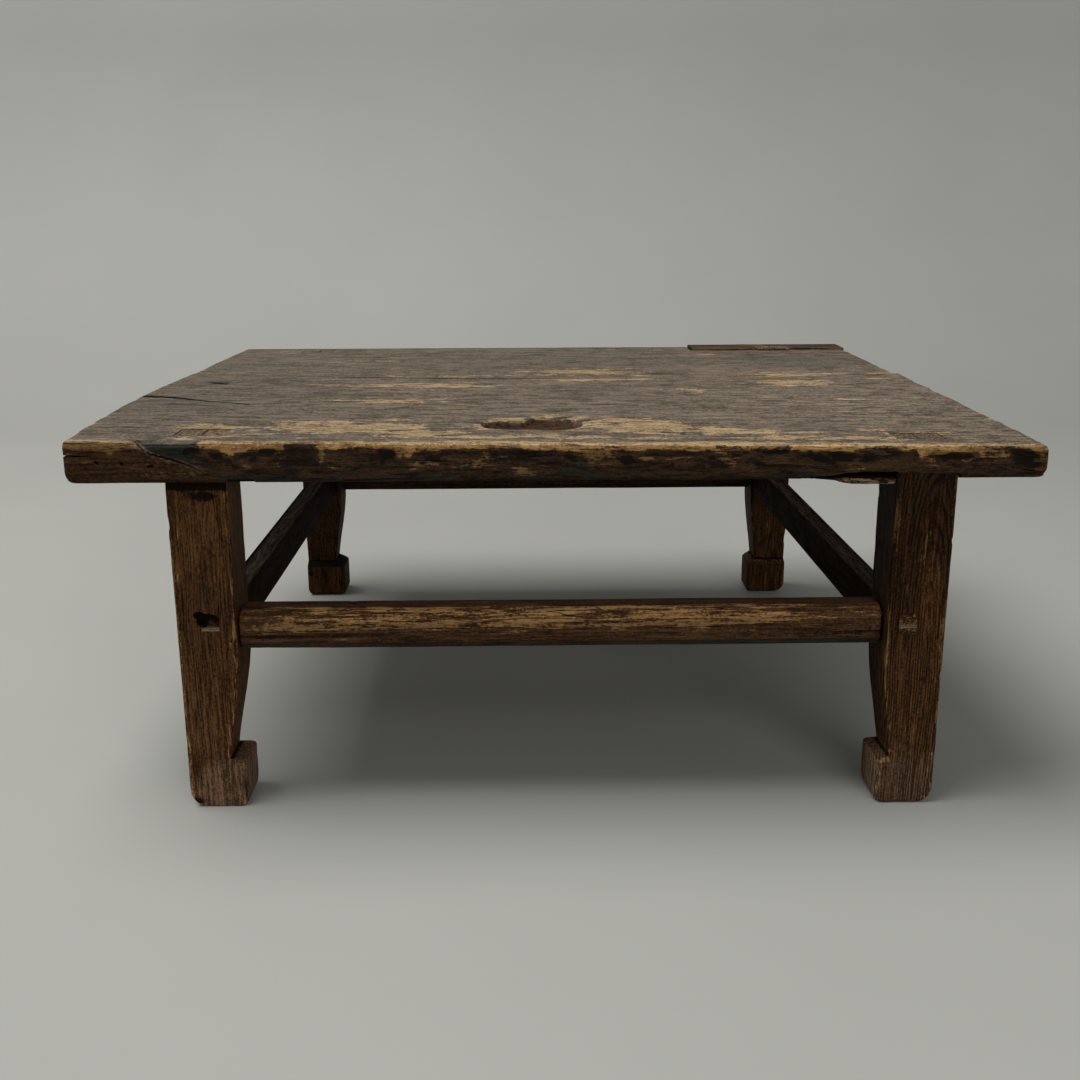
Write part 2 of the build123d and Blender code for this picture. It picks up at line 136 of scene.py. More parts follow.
class KangFinishSettings(bpy.types.PropertyGroup):
    """Colours of the aged wood and the iron."""

    top_light: tone("Top, Light", "Pale fibres of the upper face", (0.178, 0.139, 0.100))
    top_dark: tone("Top, Dark", "Dark fibres of the upper face", (0.046, 0.035, 0.025))
    worn_light: tone("Worn, Light", "Bare wood under a rubbed patina", (0.37, 0.262, 0.142))
    worn_dark: tone("Worn, Dark", "Grain lines of the rubbed wood", (0.135, 0.085, 0.042))
    edge_light: tone("Edge, Light", "Pale fibres of the slab's sides", (0.088, 0.046, 0.020))
    edge_dark: tone("Edge, Dark", "Dark fibres of the slab's sides", (0.012, 0.0068, 0.0038))
    frame_light: tone("Frame, Light", "Pale fibres of legs and stretchers", (0.110, 0.052, 0.021))
    frame_dark: tone("Frame, Dark", "Dark fibres of legs and stretchers", (0.024, 0.0105, 0.0045))
    bare_light: tone("Bare, Light", "Rusty brown wood under the worn finish", (0.150, 0.070, 0.025))
    bare_dark: tone("Bare, Dark", "Grain lines of that brown wood", (0.040, 0.017, 0.0065))
    gold_light: tone("Gold, Light", "Rubbed wood of legs and stretchers", (0.285, 0.160, 0.060))
    gold_dark: tone("Gold, Dark", "Grain lines of that rubbed wood", (0.100, 0.050, 0.017))
    slate: tone("Slate", "Grey-green bloom of old dirt", (0.030, 0.032, 0.023))
    slate_top: tone("Slate, Top", "The same bloom on the polished face", (0.082, 0.081, 0.066))
    # Sooty black for grime, also used to paint the shade inside cuts, creases and under the top.
    soot_and_shade: tone("Soot", "Black dirt in cracks and stains", (0.007, 0.005, 0.0035))
    strip_light: tone("Strip, Light", "Pale fibres of the repair strip", (0.130, 0.080, 0.048))
    strip_dark: tone("Strip, Dark", "Dark fibres of the repair strip", (0.034, 0.019, 0.011))
    wedge_light: tone("Wedge, Light", "Pale fibres of the wedges", (0.25, 0.192, 0.124))
    wedge_dark: tone("Wedge, Dark", "Dark fibres of the wedges", (0.12, 0.085, 0.052))
    iron: tone("Iron", "Worn iron of the nail heads", (0.15, 0.13, 0.11))
    rust: tone("Rust", "Rust on the nails", (0.10, 0.035, 0.014))


class KangStageSettings(bpy.types.PropertyGroup):
    """Floor, lamps and camera."""

    floor: tone("Floor", "Colour of the plain floor", (0.42, 0.42, 0.385))
    room_light: amount("Room Light", "Strength of the even light from all round", 0.20)
    key_light: amount("Key Light", "Power of the large lamp over the table, W", 195)
    bounce: amount("Floor Bounce", "Share of light that the floor throws back", 0.25)
    lens: amount("Lens", "Focal length for a 36 mm sensor", 40.88, subtype="DISTANCE_CAMERA")
    camera_place: FloatVectorProperty(
        name="Camera Place", description="Camera position", subtype="XYZ", unit="LENGTH",
        default=(-0.0292, -1.4239, 0.5385),
    )
    pitch: amount("Pitch", "Tilt below level", radians(14.853), subtype="ANGLE")
    yaw: amount("Yaw", "Turn to the right", radians(0.851), subtype="ANGLE")
    roll: amount("Roll", "Roll about the view line", radians(-0.203), subtype="ANGLE")


def chosen(group):
    """One of the scene's groups of settings: top, legs, finish or stage."""
    return getattr(bpy.context.scene, "kang_" + group)


# ---------------------------------------------------------------- number fields
def smooth(value, low, high):
    """Smooth step: 0 below low, 1 above high, a cubic ease between."""
    t = np.clip((value - low) / (high - low), 0, 1)
    return t * t * (3 - 2 * t)


def bell(distance, reach):
    """Bell curve of a distance: 1 at none, about a third at the reach."""
    return np.exp(-((distance / reach) ** 2))


def strongest(*parts):
    """Greatest of several marks at each point."""
    return reduce(np.maximum, parts)


def straight(place):
    """Line that keeps to one place, for an edge that isn't bowed."""
    return lambda _: place


def corner_value(cell, seed):
    """Hash of a lattice corner, spread evenly over -1..1."""
    mask = np.int64(0xFFFFFFFF)
    h = (cell[..., 0] * 374761393 + cell[..., 1] * 668265263) & mask
    h = (h + cell[..., 2] * 2246822519 + seed * 974711) & mask
    h = ((h ^ (h >> 13)) * 1274126177) & mask
    h = ((h ^ (h >> 16)) * 2246822519) & mask
    return (h ^ (h >> 15)) / 2147483647.5 - 1


def lattice_noise(points, seed):
    """Value noise in -1..1: corner values blended by a smooth step along each axis."""
    cell = np.floor(points).astype(np.int64)
    t = points - cell
    t = t * t * (3 - 2 * t)
    total = np.zeros(points.shape[:-1])
    for corner in np.ndindex(2, 2, 2):
        weight = np.prod(np.where(corner, t, 1 - t), axis=-1)
        total += weight * corner_value(cell + np.array(corner), seed)
    return total


def rough(points, size, seed, octaves=3):
    """Sum of value noises, each half the size and half the strength of the one before."""
    scaled = points / np.asarray(size, float)
    total = np.zeros(points.shape[:-1])
    for octave in range(octaves):
        total += lattice_noise(scaled * 2**octave, seed + octave) / 2**octave
    return total / (2 - 0.5 ** (octaves - 1))


def rough_share(points, size, seed, octaves=3):
    """The same noise, moved to 0..1."""
    return 0.5 + 0.5 * rough(points, size, seed, octaves)


def flat(x, y):
    """Points at height 0 over x and y, for noise that is the same at every height."""
    return np.stack([x, y, np.zeros_like(x)], -1)


def wander(along, size, seed, octaves=3):
    """Noise of one variable, as a curve that wanders between -1 and 1."""
    along = np.asarray(along, float)
    points = np.stack([along, np.full_like(along, 0.37), np.full_like(along, 0.71)], -1)
    return rough(points, (size, 1.0, 1.0), seed, octaves)


def patch(x, y, centre, reach):
    """Soft oval patch: 1 in the middle, falling off as a bell curve."""
    return np.exp(-(((x - centre[0]) / reach[0]) ** 2) - ((y - centre[1]) / reach[1]) ** 2)


def spread(start, stop, step, dense=()):
    """Values from start to stop about a step apart, closer near each (place, reach, step)."""
    t = np.linspace(start, stop, 4000)
    rate = np.full_like(t, 1 / step)
    for place, reach, fine in dense:
        rate += (1 / fine - 1 / step) * bell(t - place, reach)
    total = np.concatenate([[0], np.cumsum((rate[1:] + rate[:-1]) / 2 * np.diff(t))])
    count = int(np.ceil(total[-1])) + 1
    return np.interp(np.linspace(0, total[-1], count), total, t)


# ---------------------------------------------------------------- surfaces
def block_skin(xs, ys, zs):
    """Outer faces of a lattice whose planes stand at xs, ys and zs: points and quads."""
    axes = [np.asarray(a, float) for a in (xs, ys, zs)]
    counts = [len(a) for a in axes]
    quads = []
    for axis in range(3):
        u, v = (axis + 1) % 3, (axis + 2) % 3
        iu, iv = np.meshgrid(np.arange(counts[u] - 1), np.arange(counts[v] - 1), indexing="ij")
        for side in (0, counts[axis] - 1):
            ring = []
            for du, dv in ((0, 0), (1, 0), (1, 1), (0, 1)):
                index = [None] * 3
                index[axis] = np.full_like(iu, side)
                index[u] = iu + du
                index[v] = iv + dv
                ring.append(np.ravel_multi_index(index, counts))
            face = np.stack(ring, -1).reshape(-1, 4)
            quads.append(face if side else face[:, ::-1])
    used, faces = np.unique(np.concatenate(quads), return_inverse=True)
    i, j, k = np.unravel_index(used, counts)
    return np.stack([axes[0][i], axes[1][j], axes[2][k]], -1), faces.reshape(-1, 4), (i, j, k)


def thin_underside(quads, places, counts, keep):
    """Underside with only every keep-th line inside its rim, so that hidden faces stay few."""
    i, j, k = places
    low = k == 0
    ci = np.clip((i - 1) // keep * keep + (keep + 1) // 2, 1, counts[0] - 2)
    cj = np.clip((j - 1) // keep * keep + (keep + 1) // 2, 1, counts[1] - 2)
    inner = low & (i > 0) & (i < counts[0] - 1) & (j > 0) & (j < counts[1] - 1)
    key = i * counts[1] + j
    target = np.where(inner, ci * counts[1] + cj, key)
    order = np.argsort(np.where(low, key, -1))
    sorted_keys = np.where(low, key, -1)[order]
    moved = order[np.searchsorted(sorted_keys, np.where(inner, target, key))]
    remap = np.where(inner, moved, np.arange(len(i)))
    return remap[quads]


def vertex_normals(points, quads):
    """Unit normals: each face's diagonal cross product summed at its corners."""
    a, b, c, d = (points[quads[:, n]] for n in range(4))
    face = np.cross(c - a, d - b)
    total = np.zeros_like(points)
    for n in range(4):
        np.add.at(total, quads[:, n], face)
    return total / np.maximum(np.linalg.norm(total, axis=1, keepdims=True), 1e-9)


def ease_arris(points, axes, corner, signs, radius, cut=False):
    """Round or chamfer one arris of a block.

    Beyond the arris centre, offsets that share a greatest side are drawn to a common
    distance (round) or a common sum (chamfer), so the square corner becomes an arc.
    """
    a, b = axes
    radius = np.broadcast_to(np.asarray(radius, float), points.shape[:1])
    da = (points[:, a] - corner[0]) * signs[0] + radius
    db = (points[:, b] - corner[1]) * signs[1] + radius
    inside = (da > 0) & (db > 0)
    greatest = np.maximum(da, db)
    length = da + db if cut else np.hypot(da, db)
    scale = np.where(inside, greatest / np.where(inside, length, 1), 1)
    out = points.copy()
    out[:, a] = np.where(inside, corner[0] + (da * scale - radius) * signs[0], points[:, a])
    out[:, b] = np.where(inside, corner[1] + (db * scale - radius) * signs[1], points[:, b])
    return out


def outward(points, faces):
    """Faces of a closed surface turned to point outwards, by the sign of its volume."""
    a, b, c, d = (points[faces[:, n]] for n in range(4))
    volume = np.einsum("ij,ij->", a, np.cross(b, c)) + np.einsum("ij,ij->", a, np.cross(c, d))
    return faces if volume > 0 else faces[:, ::-1]


def add_object(name, data):
    """Object for a mesh, lamp or camera, linked to the scene."""
    thing = bpy.data.objects.new(name, data)
    bpy.context.scene.collection.objects.link(thing)
    return thing


def make_piece(name, points, faces):
    """Mesh object from millimetre points and faces; repeated corners in a face are dropped."""
    faces = outward(points, np.asarray(faces))
    same = faces == np.roll(faces, 1, axis=1)
    opposite = (faces[:, 0] == faces[:, 2]) | (faces[:, 1] == faces[:, 3])
    corners = (~same).sum(1)
    whole = (corners >= 3) & ~opposite
    faces, same, corners = faces[whole], same[whole], corners[whole]
    loops = faces[~same]
    used, loops = np.unique(loops, return_inverse=True)
    mesh = bpy.data.meshes.new(name)
    mesh.vertices.add(len(used))
    mesh.vertices.foreach_set("co", (points[used] / 1000).astype(np.float32).ravel())
    mesh.loops.add(len(loops))
    mesh.loops.foreach_set("vertex_index", loops.astype(np.int32).ravel())
    mesh.polygons.add(len(corners))
    starts = np.concatenate([[0], np.cumsum(corners)[:-1]])
    mesh.polygons.foreach_set("loop_start", starts.astype(np.int32))
    mesh.update(calc_edges=True)
    if mesh.validate():
        raise RuntimeError(f"{name}: the surface has bad faces")
    return add_object(name, mesh)


def read_points(piece):
    """Points and vertex normals of a piece's mesh, in millimetres."""
    count = len(piece.data.vertices)
    points = np.empty(count * 3, np.float32)
    normals = np.empty(count * 3, np.float32)
    piece.data.vertices.foreach_get("co", points)
    piece.data.vertex_normals.foreach_get("vector", normals)
    return points.reshape(-1, 3).astype(float) * 1000, normals.reshape(-1, 3).astype(float)


def carve(piece, tools, operation="DIFFERENCE"):
    """Cut tools from a piece, or join them to it, and keep the result as plain mesh.

    Faces that a tool leaves carry the mark "cut", so that the inside of a cut is painted dark:
    painted shade in cracks, holes and joint gaps.
    """
    for thing in (piece, *tools):
        if "cut" not in thing.data.attributes:
            layer = thing.data.attributes.new("cut", "FLOAT", "FACE")
            share = float(thing is not piece and operation == "DIFFERENCE")
            layer.data.foreach_set("value", np.full(len(thing.data.polygons), share, np.float32))
    for tool in tools:
        step = piece.modifiers.new("carve", "BOOLEAN")
        step.operation = operation
        step.solver = "MANIFOLD"
        step.object = tool
    graph = bpy.context.evaluated_depsgraph_get()
    mesh = bpy.data.meshes.new_from_object(piece.evaluated_get(graph))
    if len(mesh.polygons) < 12:
        raise RuntimeError(f"{piece.name}: carving left nothing")
    piece.modifiers.clear()
    old = piece.data
    piece.data = mesh
    bpy.data.meshes.remove(old)
    mesh.name = piece.name
    for tool in tools:
        data = tool.data
        bpy.data.objects.remove(tool)
        bpy.data.meshes.remove(data)


def finish_piece(piece, marks, material, slot, *nodes):
    """Write the wear marks, shade smooth with crisp cut edges, and hand over to the frame."""
    for label, values in marks.items():
        layer = piece.data.attributes.new(label, "FLOAT", "POINT")
        layer.data.foreach_set("value", np.clip(values, 0, 1).astype(np.float32))
    piece.data.polygons.foreach_set("use_smooth", np.ones(len(piece.data.polygons), bool))
    piece.data.set_sharp_from_angle(angle=radians(38))
    piece.data.materials.clear()
    piece.data.materials.append(material)
    piece.data.update()
    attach(piece, "root")
    if nodes:
        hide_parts(*nodes)


def tapered_box(name, low, high, shift=(0, 0), grow=(0, 0)):
    """Straight tool block; its top may shift and grow sideways against its foot."""
    points, faces, _ = block_skin(*[(low[n], high[n]) for n in range(3)])
    top = points[:, 2] == high[2]
    middle = (np.array(low[:2]) + np.array(high[:2])) / 2
    for n in range(2):
        side = np.sign(points[:, n] - middle[n])
        points[:, n] += top * (shift[n] + side * grow[n] / 2)
    return make_piece(name, points, faces)


def ribbon_tool(name, centre, width, low, high, foot=0.25, axes=(0, 1, 2)):
    """Crack tool: a strip along a centre line, with a width at each point and a V section.

    axes gives the two axes that the centre line lies in and the axis that the crack is
    cut along; low is the depth of its foot and high its open side.
    """
    centre = np.asarray(centre, float)
    run = np.gradient(centre, axis=0)
    side = np.stack([-run[:, 1], run[:, 0]], -1)
    side /= np.linalg.norm(side, axis=1, keepdims=True)
    half = np.asarray(width, float)[:, None] / 2
    count = len(centre)
    rows = []
    for offset, level, share in ((-1, low, foot), (1, low, foot), (1, high, 1), (-1, high, 1)):
        row = np.empty((count, 3))
        row[:, axes[:2]] = centre + side * half * offset * share
        row[:, axes[2]] = level
        rows.append(row)
    points = np.concatenate(rows)
    n = np.arange(count - 1)
    faces = []
    for row in range(4):
        a, b = row * count + n, (row + 1) % 4 * count + n
        faces.append(np.stack([a, b, b + 1, a + 1], -1))
    last = count - 1
    faces.append(np.array([[0, 3 * count, 2 * count, count]]))
    faces.append(np.array([[last, count + last, 2 * count + last, 3 * count + last]]))
    return make_piece(name, points, np.concatenate(faces))


def hole_tool(name, place, radius, length, axis, sides=9):
    """Worm hole tool: a short tube with domed ends along an axis."""
    turn = np.linspace(0, 2 * np.pi, sides, endpoint=False)
    rows = []
    for t, share in ((-1, 0.5), (-0.8, 1), (0.8, 1), (1, 0.5)):
        ring = np.zeros((sides, 3))
        ring[:, axis] = t * length / 2
        ring[:, (axis + 1) % 3] = np.cos(turn) * radius * share
        ring[:, (axis + 2) % 3] = np.sin(turn) * radius * share
        rows.append(ring + np.asarray(place, float))
    rows = [np.repeat(rows[0].mean(0)[None], sides, 0)] + rows
    rows.append(np.repeat(rows[-1].mean(0)[None], sides, 0))
    points = np.concatenate(rows)
    n = np.arange(sides)
    faces = []
    for row in range(len(rows) - 1):
        a, b = row * sides + n, row * sides + (n + 1) % sides
        faces.append(np.stack([a, b, b + sides, a + sides], -1))
    faces = np.concatenate(faces)
    faces = np.where(faces < sides, 0, faces)
    faces = np.where(faces >= len(points) - sides, len(points) - 1, faces)
    return make_piece(name, points, faces)


# ---------------------------------------------------------------- shader bench
def maths(operation, reflected=False):
    """Method that adds a Math node of one operation to a reading and another value."""

    def method(self, other=0.0):
        first, second = (other, self) if reflected else (self, other)
        node = self.bench.node("ShaderNodeMath", {"operation": operation}, {0: first, 1: second})
        return Reading(self.bench, node.outputs[0])

    return method


class Reading:
    """A node socket that can be used in arithmetic; each operation adds a Math node."""

    def __init__(self, bench, socket):
        self.bench = bench
        self.socket = socket

    __add__ = maths("ADD")
    __radd__ = maths("ADD", reflected=True)
    __sub__ = maths("SUBTRACT")
    __rsub__ = maths("SUBTRACT", reflected=True)
    __mul__ = maths("MULTIPLY")
    __rmul__ = maths("MULTIPLY", reflected=True)
    __truediv__ = maths("DIVIDE")
    __rtruediv__ = maths("DIVIDE", reflected=True)
    __pow__ = maths("POWER")
    least = maths("MINIMUM")
    most = maths("MAXIMUM")
    fraction = maths("FRACT")
    size = maths("ABSOLUTE")

    def step(self, low, high):
        """Smooth step of this reading between two values."""
        node = self.bench.node(
            "ShaderNodeMapRange",
            {"interpolation_type": "SMOOTHSTEP"},
            {"Value": self, "From Min": low, "From Max": high},
        )
        return Reading(self.bench, node.outputs["Result"])


def plug(tree, socket, value):
    """Link a socket to a reading or another socket, or set its own value."""
    if isinstance(value, Reading):
        value = value.socket
    if isinstance(value, bpy.types.NodeSocket):
        tree.links.new(value, socket)
    elif socket.type == "RGBA" and len(value) == 3:
        socket.default_value = (*value, 1)
    else:
        socket.default_value = value


def add_node(tree, kind, settings=None, inputs=None):
    """Add a node: its settings first, then the values or links of its sockets."""
    node = tree.nodes.new(kind)
    for label, value in (settings or {}).items():
        setattr(node, label, value)
    for label, value in (inputs or {}).items():
        plug(tree, node.inputs[label], value)
    return node


class Bench:
    """Builds one material's nodes around its Principled shader."""

    def __init__(self, name):
        self.material = bpy.data.materials.new(name)
        self.material.use_nodes = True
        self.tree = self.material.node_tree
        self.shader = self.tree.nodes["Principled BSDF"]
        coordinates = self.node("ShaderNodeTexCoord")
        scaled = self.node(
            "ShaderNodeVectorMath",
            {"operation": "SCALE"},
            {0: coordinates.outputs["Object"], "Scale": 1000.0},
        )
        split = self.node("ShaderNodeSeparateXYZ", {}, {0: scaled.outputs[0]})
        self.x, self.y, self.z = (Reading(self, split.outputs[n]) for n in range(3))
        self.marks = {}

    def node(self, kind, settings=None, inputs=None):
        """Add a node to this material."""
        return add_node(self.tree, kind, settings, inputs)

    def mark(self, label):
        """Wear mark that the piece carries on its points or faces."""
        if label not in self.marks:
            node = self.node("ShaderNodeAttribute", {"attribute_name": label})
            self.marks[label] = Reading(self, node.outputs["Fac"])
        return self.marks[label]

    def streaks(self, frame_axes, sizes, seed, detail=3.0, roughness=0.55):
        """Noise stretched to the given lengths along the three frame axes, in 0..1."""
        pairs = enumerate(zip(frame_axes, sizes))
        parts = {n: axis / size + seed * (3.7 + n) for n, (axis, size) in pairs}
        vector = self.node("ShaderNodeCombineXYZ", {}, parts)
        noise = self.node(
            "ShaderNodeTexNoise",
            {},
            {"Vector": vector.outputs[0], "Scale": 1.0, "Detail": detail, "Roughness": roughness},
        )
        return Reading(self, noise.outputs["Fac"])

    def mix(self, factor, first, second):
        """Blend of two colours."""
        node = self.node(
            "ShaderNodeMix",
            {"data_type": "RGBA", "clamp_factor": True},
            {0: factor, 6: first, 7: second},
        )
        return node.outputs[2]

    def shade(self, colour, amount):
        """Colour multiplied by a number reading."""
        scaled = {0: colour, "Scale": amount}
        node = self.node("ShaderNodeVectorMath", {"operation": "SCALE"}, scaled)
        return node.outputs[0]

    def relief(self, height, reach):
        """Bump from a height in units of reach, in millimetres, fed to the shader's normal."""
        node = self.node(
            "ShaderNodeBump", {}, {"Height": height, "Distance": reach / 1000, "Strength": 1.0}
        )
        self.tree.links.new(node.outputs[0], self.shader.inputs["Normal"])

    def feed(self, **inputs):
        """Link or set the shader's own sockets; underscores in names stand for spaces."""
        for label, value in inputs.items():
            plug(self.tree, self.shader.inputs[label.replace("_", " ")], value)


def aged_wood(
    name, grain, kind, seed, ring, pith, polish_and_light=False, rub="gold",
    wide=1.0, grade=1.0, mottle=0.0, lean=0.0, sheen=0.07,
):
    """Aged elm: growth rings about a pith line, fibres, pores and checks along the grain.

    Ring number is the distance from the wandering pith line over the ring width; a lean
    of that line above LEAN_FOOT draws arches on a face. Wear marks on the piece bring in
    rubbed wood, slate bloom, soot and bare brown wood, and noise breaks up the borders of
    each; the dark mark and the faces marked cut also carry painted shade, in the same sooty
    black. Two more marks make it paler or deeper, which on some pieces is painted light
    and shade. kind and rub name the tones of the wood and of its rubbed places, and a piece
    set for them has the top's tones where marked upper: real polish on the planks, and
    painted light on the top faces of the side stretchers.
    """
    finish = chosen("finish")
    bench = Bench(name)
    order = {"X": (bench.x, bench.y, bench.z), "Y": (bench.y, bench.z, bench.x)}
    axes = along, side, rise = order.get(grain, (bench.z, bench.x, bench.y))
    top = bench.mark("upper") if polish_and_light else 0.0

    sway = bench.streaks(axes, (260, 70, 70), seed, 2)
    across = side - pith[0] + (sway - 0.5) * (20 if lean else 60)
    height = rise - pith[1] + (sway - 0.5) * (14 if lean else 34)
    if lean:
        height = height - (along - LEAN_FOOT).most(0.0) * lean
    radius = (across * across + height * height) ** 0.5

    broad = bench.streaks(axes, (130, 22 * wide, 22), seed + 2, 3)
    medium = bench.streaks(axes, (54, 5.5 * wide * grade, 5.5 * grade), seed + 3, 4, 0.6)
    streak = bench.streaks(axes, (18, 2.4 * wide * grade, 2.4 * grade), seed + 8, 3, 0.65)
    fine = bench.streaks(axes, (11, 0.8 * wide, 0.8), seed + 4, 2)
    blot = bench.streaks(axes, (20, 11 * wide**0.5, 10), seed + 6, 5, 0.68)
    crumb = bench.streaks(axes, (3.4, 1.9 * wide, 1.8), seed + 9, 3, 0.7)
    grit = bench.streaks(axes, (1.5, 1.1 * wide, 1.0), seed + 5, 2, 0.7)
    seam = bench.streaks(axes, (170, 8 * wide, 8), seed + 7, 2)
    shiver = 0.5 if lean else 1.6
    turn = (radius / ring + (medium - 0.5) * shiver + (broad - 0.5) * shiver).fraction()
    late = turn.step(0.30, 0.92) * (1 - turn.step(0.93, 1.0))
    late = late * (0.30 + broad.step(0.40, 0.62) * 0.70)
    pores = fine.step(0.58, 0.70) * (1.1 - late)
    check = (1 - ((seam - 0.5).size()).step(0.0, 0.011)) * broad.step(0.46, 0.58)

    figure = (broad - 0.5) * 1.3 + (medium - 0.5) * (2.3 - mottle) + (streak - 0.5) * 1.9
    figure = figure + (crumb - 0.5) * 1.5 + (grit - 0.5) * 1.0 + (blot - 0.5) * mottle
    figure = (figure + 0.66 - late * (0.95 if lean else 0.46)).step(0.0, 1.05)

    def fibres(wood):
        """Dark and light tone of one kind of wood, blended by the figure."""
        return bench.mix(figure, getattr(finish, wood + "_dark"), getattr(finish, wood + "_light"))

    colour = fibres(kind)
    if polish_and_light:
        colour = bench.mix(top, colour, fibres("top"))

    bare = (bench.mark("bare") + (blot - 0.5) * 1.1 + (medium - 0.5) * 0.6).step(0.42, 0.58)
    colour = bench.mix(bare, colour, fibres("bare"))

    slate = bench.mark("slate") * 1.1 + (blot - 0.5) * 1.7 + (streak - 0.5) * 0.9
    slate = slate.step(0.58, 0.70)
    bloom = bench.mix(top, finish.slate, finish.slate_top)
    colour = bench.mix(slate * (0.92 - top * 0.27), colour, bench.shade(bloom, figure * 0.9 + 0.55))

    ragged = (medium - 0.5) * 1.7 + (streak - 0.5) * 1.1 + (blot - 0.5) * 1.1 + (crumb - 0.5) * 0.7
    worn = (bench.mark("worn") + ragged).step(0.44, 0.60)
    rubbed = fibres(rub)
    if polish_and_light:
        rubbed = bench.mix(top, rubbed, fibres("worn"))
    colour = bench.mix(worn, colour, rubbed)

    crumbly = (blot - 0.5) * 1.2 + (streak - 0.5) * 0.8 + (crumb - 0.5) * 1.7
    # The dark mark is partly real grime and partly painted shade; both turn sooty black.
    dirt_and_shade = (bench.mark("dark") * 1.2 + crumbly).step(0.40, 0.78)
    lift = (1 + bench.mark("paler") * 1.5) * (1 - bench.mark("deeper"))
    colour = bench.shade(colour, (0.40 + crumb * 0.70 + grit * 0.50) * lift)
    # Faces marked cut are painted black, as the shade inside cracks, holes and joint gaps.
    soot_and_shade = (dirt_and_shade * 0.93 + pores * 0.34 + check * 0.8 + bench.mark("cut")).least(1.0)
    colour = bench.mix(soot_and_shade, colour, finish.soot_and_shade)

    roughness = 0.58 + (streak - 0.5) * 0.4 + (blot - 0.5) * 0.3 + dirt_and_shade * 0.2 + slate * 0.1
    roughness = roughness.least(0.95).most(0.35)
    bench.feed(Base_Color=colour, Roughness=roughness, Specular_IOR_Level=sheen)
    level = (medium - 0.5) * 0.8 + (streak - 0.5) * 1.1 + (crumb - 0.5) * 1.2 + (grit - 0.5) * 0.6
    level = level + (blot - 0.5) * 0.8 - late * 0.5 - pores * 0.3 - check * 1.5 - dirt_and_shade * 0.2
    bench.relief(level, 0.8)
    return bench.material


def nail_iron():
    """Iron with rubbed bright patches over rust."""
    finish = chosen("finish")
    bench = Bench("nail_iron")
    speck = bench.streaks((bench.x, bench.y, bench.z), (0.8, 0.8, 0.8), 3, 4)
    rust = speck.step(0.44, 0.58)
    bench.feed(
        Base_Color=bench.mix(rust, finish.iron, finish.rust),
        Metallic=1 - rust,
        Roughness=rust * 0.35 + 0.45,
    )
    bench.relief(speck, 0.15)
    return bench.material


# ---------------------------------------------------------------- shapes of the top
def seam_line(x):
    """Y of the bowed seam: an arc through the middle and the two ends."""
    half = (RIGHT_END - LEFT_END) / 2
    radius = (half**2 + SEAM_BOW**2) / (2 * SEAM_BOW)
    return SEAM_MIDDLE + radius - np.sqrt(radius**2 - x**2)


def crowned_top(x, y):
    """Height of the slab's upper face.

    Across the table it is the parabola through the front, crown and back thickness, and
    from end to end the two parabolas are blended in a straight line.
    """
    top = chosen("top")
    a, b, c = FRONT_FACE, SEAM_MIDDLE, BACK_FACE
    first = (y - b) * (y - c) / ((a - b) * (a - c))
    second = (y - a) * (y - c) / ((b - a) * (b - c))
    third = (y - a) * (y - b) / ((c - a) * (c - b))
    left = first * top.front_left + second * top.crown_left + third * top.back_edge
    right = first * top.front_right + second * top.crown_right + third * top.back_edge
    t = (x - LEFT_END) / (RIGHT_END - LEFT_END)
    return UNDERSIDE + left + (right - left) * t


def left_front_end(y):
    """X of the front plank's left end: a parabola that draws in by END_BOW at its corners."""
    middle = (FRONT_FACE + seam_line(LEFT_END)) / 2
    reach = seam_line(LEFT_END) - middle
    return LEFT_END + END_BOW * ((y - middle) / reach) ** 2


def back_left_end(y):
    """X of the back plank's left end, a little out of square."""
    share = np.clip((y - SEAM_MIDDLE) / (BACK_FACE - SEAM_MIDDLE), 0, 1)
    return BACK_LOW[0] + 3 * (1 - share)


def back_right_end(y):
    """X of the back plank's right end, skewed outwards toward the back."""
    share = np.clip((y - SEAM_MIDDLE) / (BACK_FACE - SEAM_MIDDLE), 0, 1)
    return BACK_HIGH[0] - 5 * (1 - share)


def top_wear(x, y):
    """Depth worn off the upper face: long shallow undulations and grain furrows."""
    points = flat(x, y)
    wave = rough_share(points, (190, 60, 50), 11)
    furrow = rough_share(points, (75, 8, 50), 21, 2)
    dent = smooth(rough(points, (26, 15, 50), 31, 2), 0.35, 0.8)
    return chosen("top").relief * (0.55 * wave + 0.3 * furrow + 0.35 * dent)


# Middle and radii of the two lobes of the lost knot.
KNOT_LOBES = (((-2, -277), (32, 33)), ((-34, -284), (35, 23)))


def knot_reach(x, y, spread_by=1.0):
    """How far inside the knot's leaf-shaped outline a point is: 1 at a lobe's middle, 0 on it."""
    shake = rough(flat(x, y), (40, 26, 30), 41, 2) * 0.06
    reach = np.full_like(x, -9.0)
    for centre, radii in KNOT_LOBES:
        share = np.hypot((x - centre[0]) / radii[0], (y - centre[1]) / radii[1]) / spread_by
        reach = np.maximum(reach, 1 - share - shake)
    return reach


def knot_depth(x, y):
    """Depth of the knot hollow, 0..1: steep walls, and a low boss left in its front half."""
    depth = smooth(knot_reach(x, y), 0.0, 0.16)
    boss = smooth(x + 24 - 0.9 * (y + 290), -3, 4) * smooth(-274 - y + 0.1 * x, -3, 4)
    grain = 0.06 * rough(flat(x, y), (18, 3, 30), 42)
    return depth * (1 - 0.38 * boss + grain)


CORNERS = ((0, 0), (1, 0), (0, 1), (1, 1))


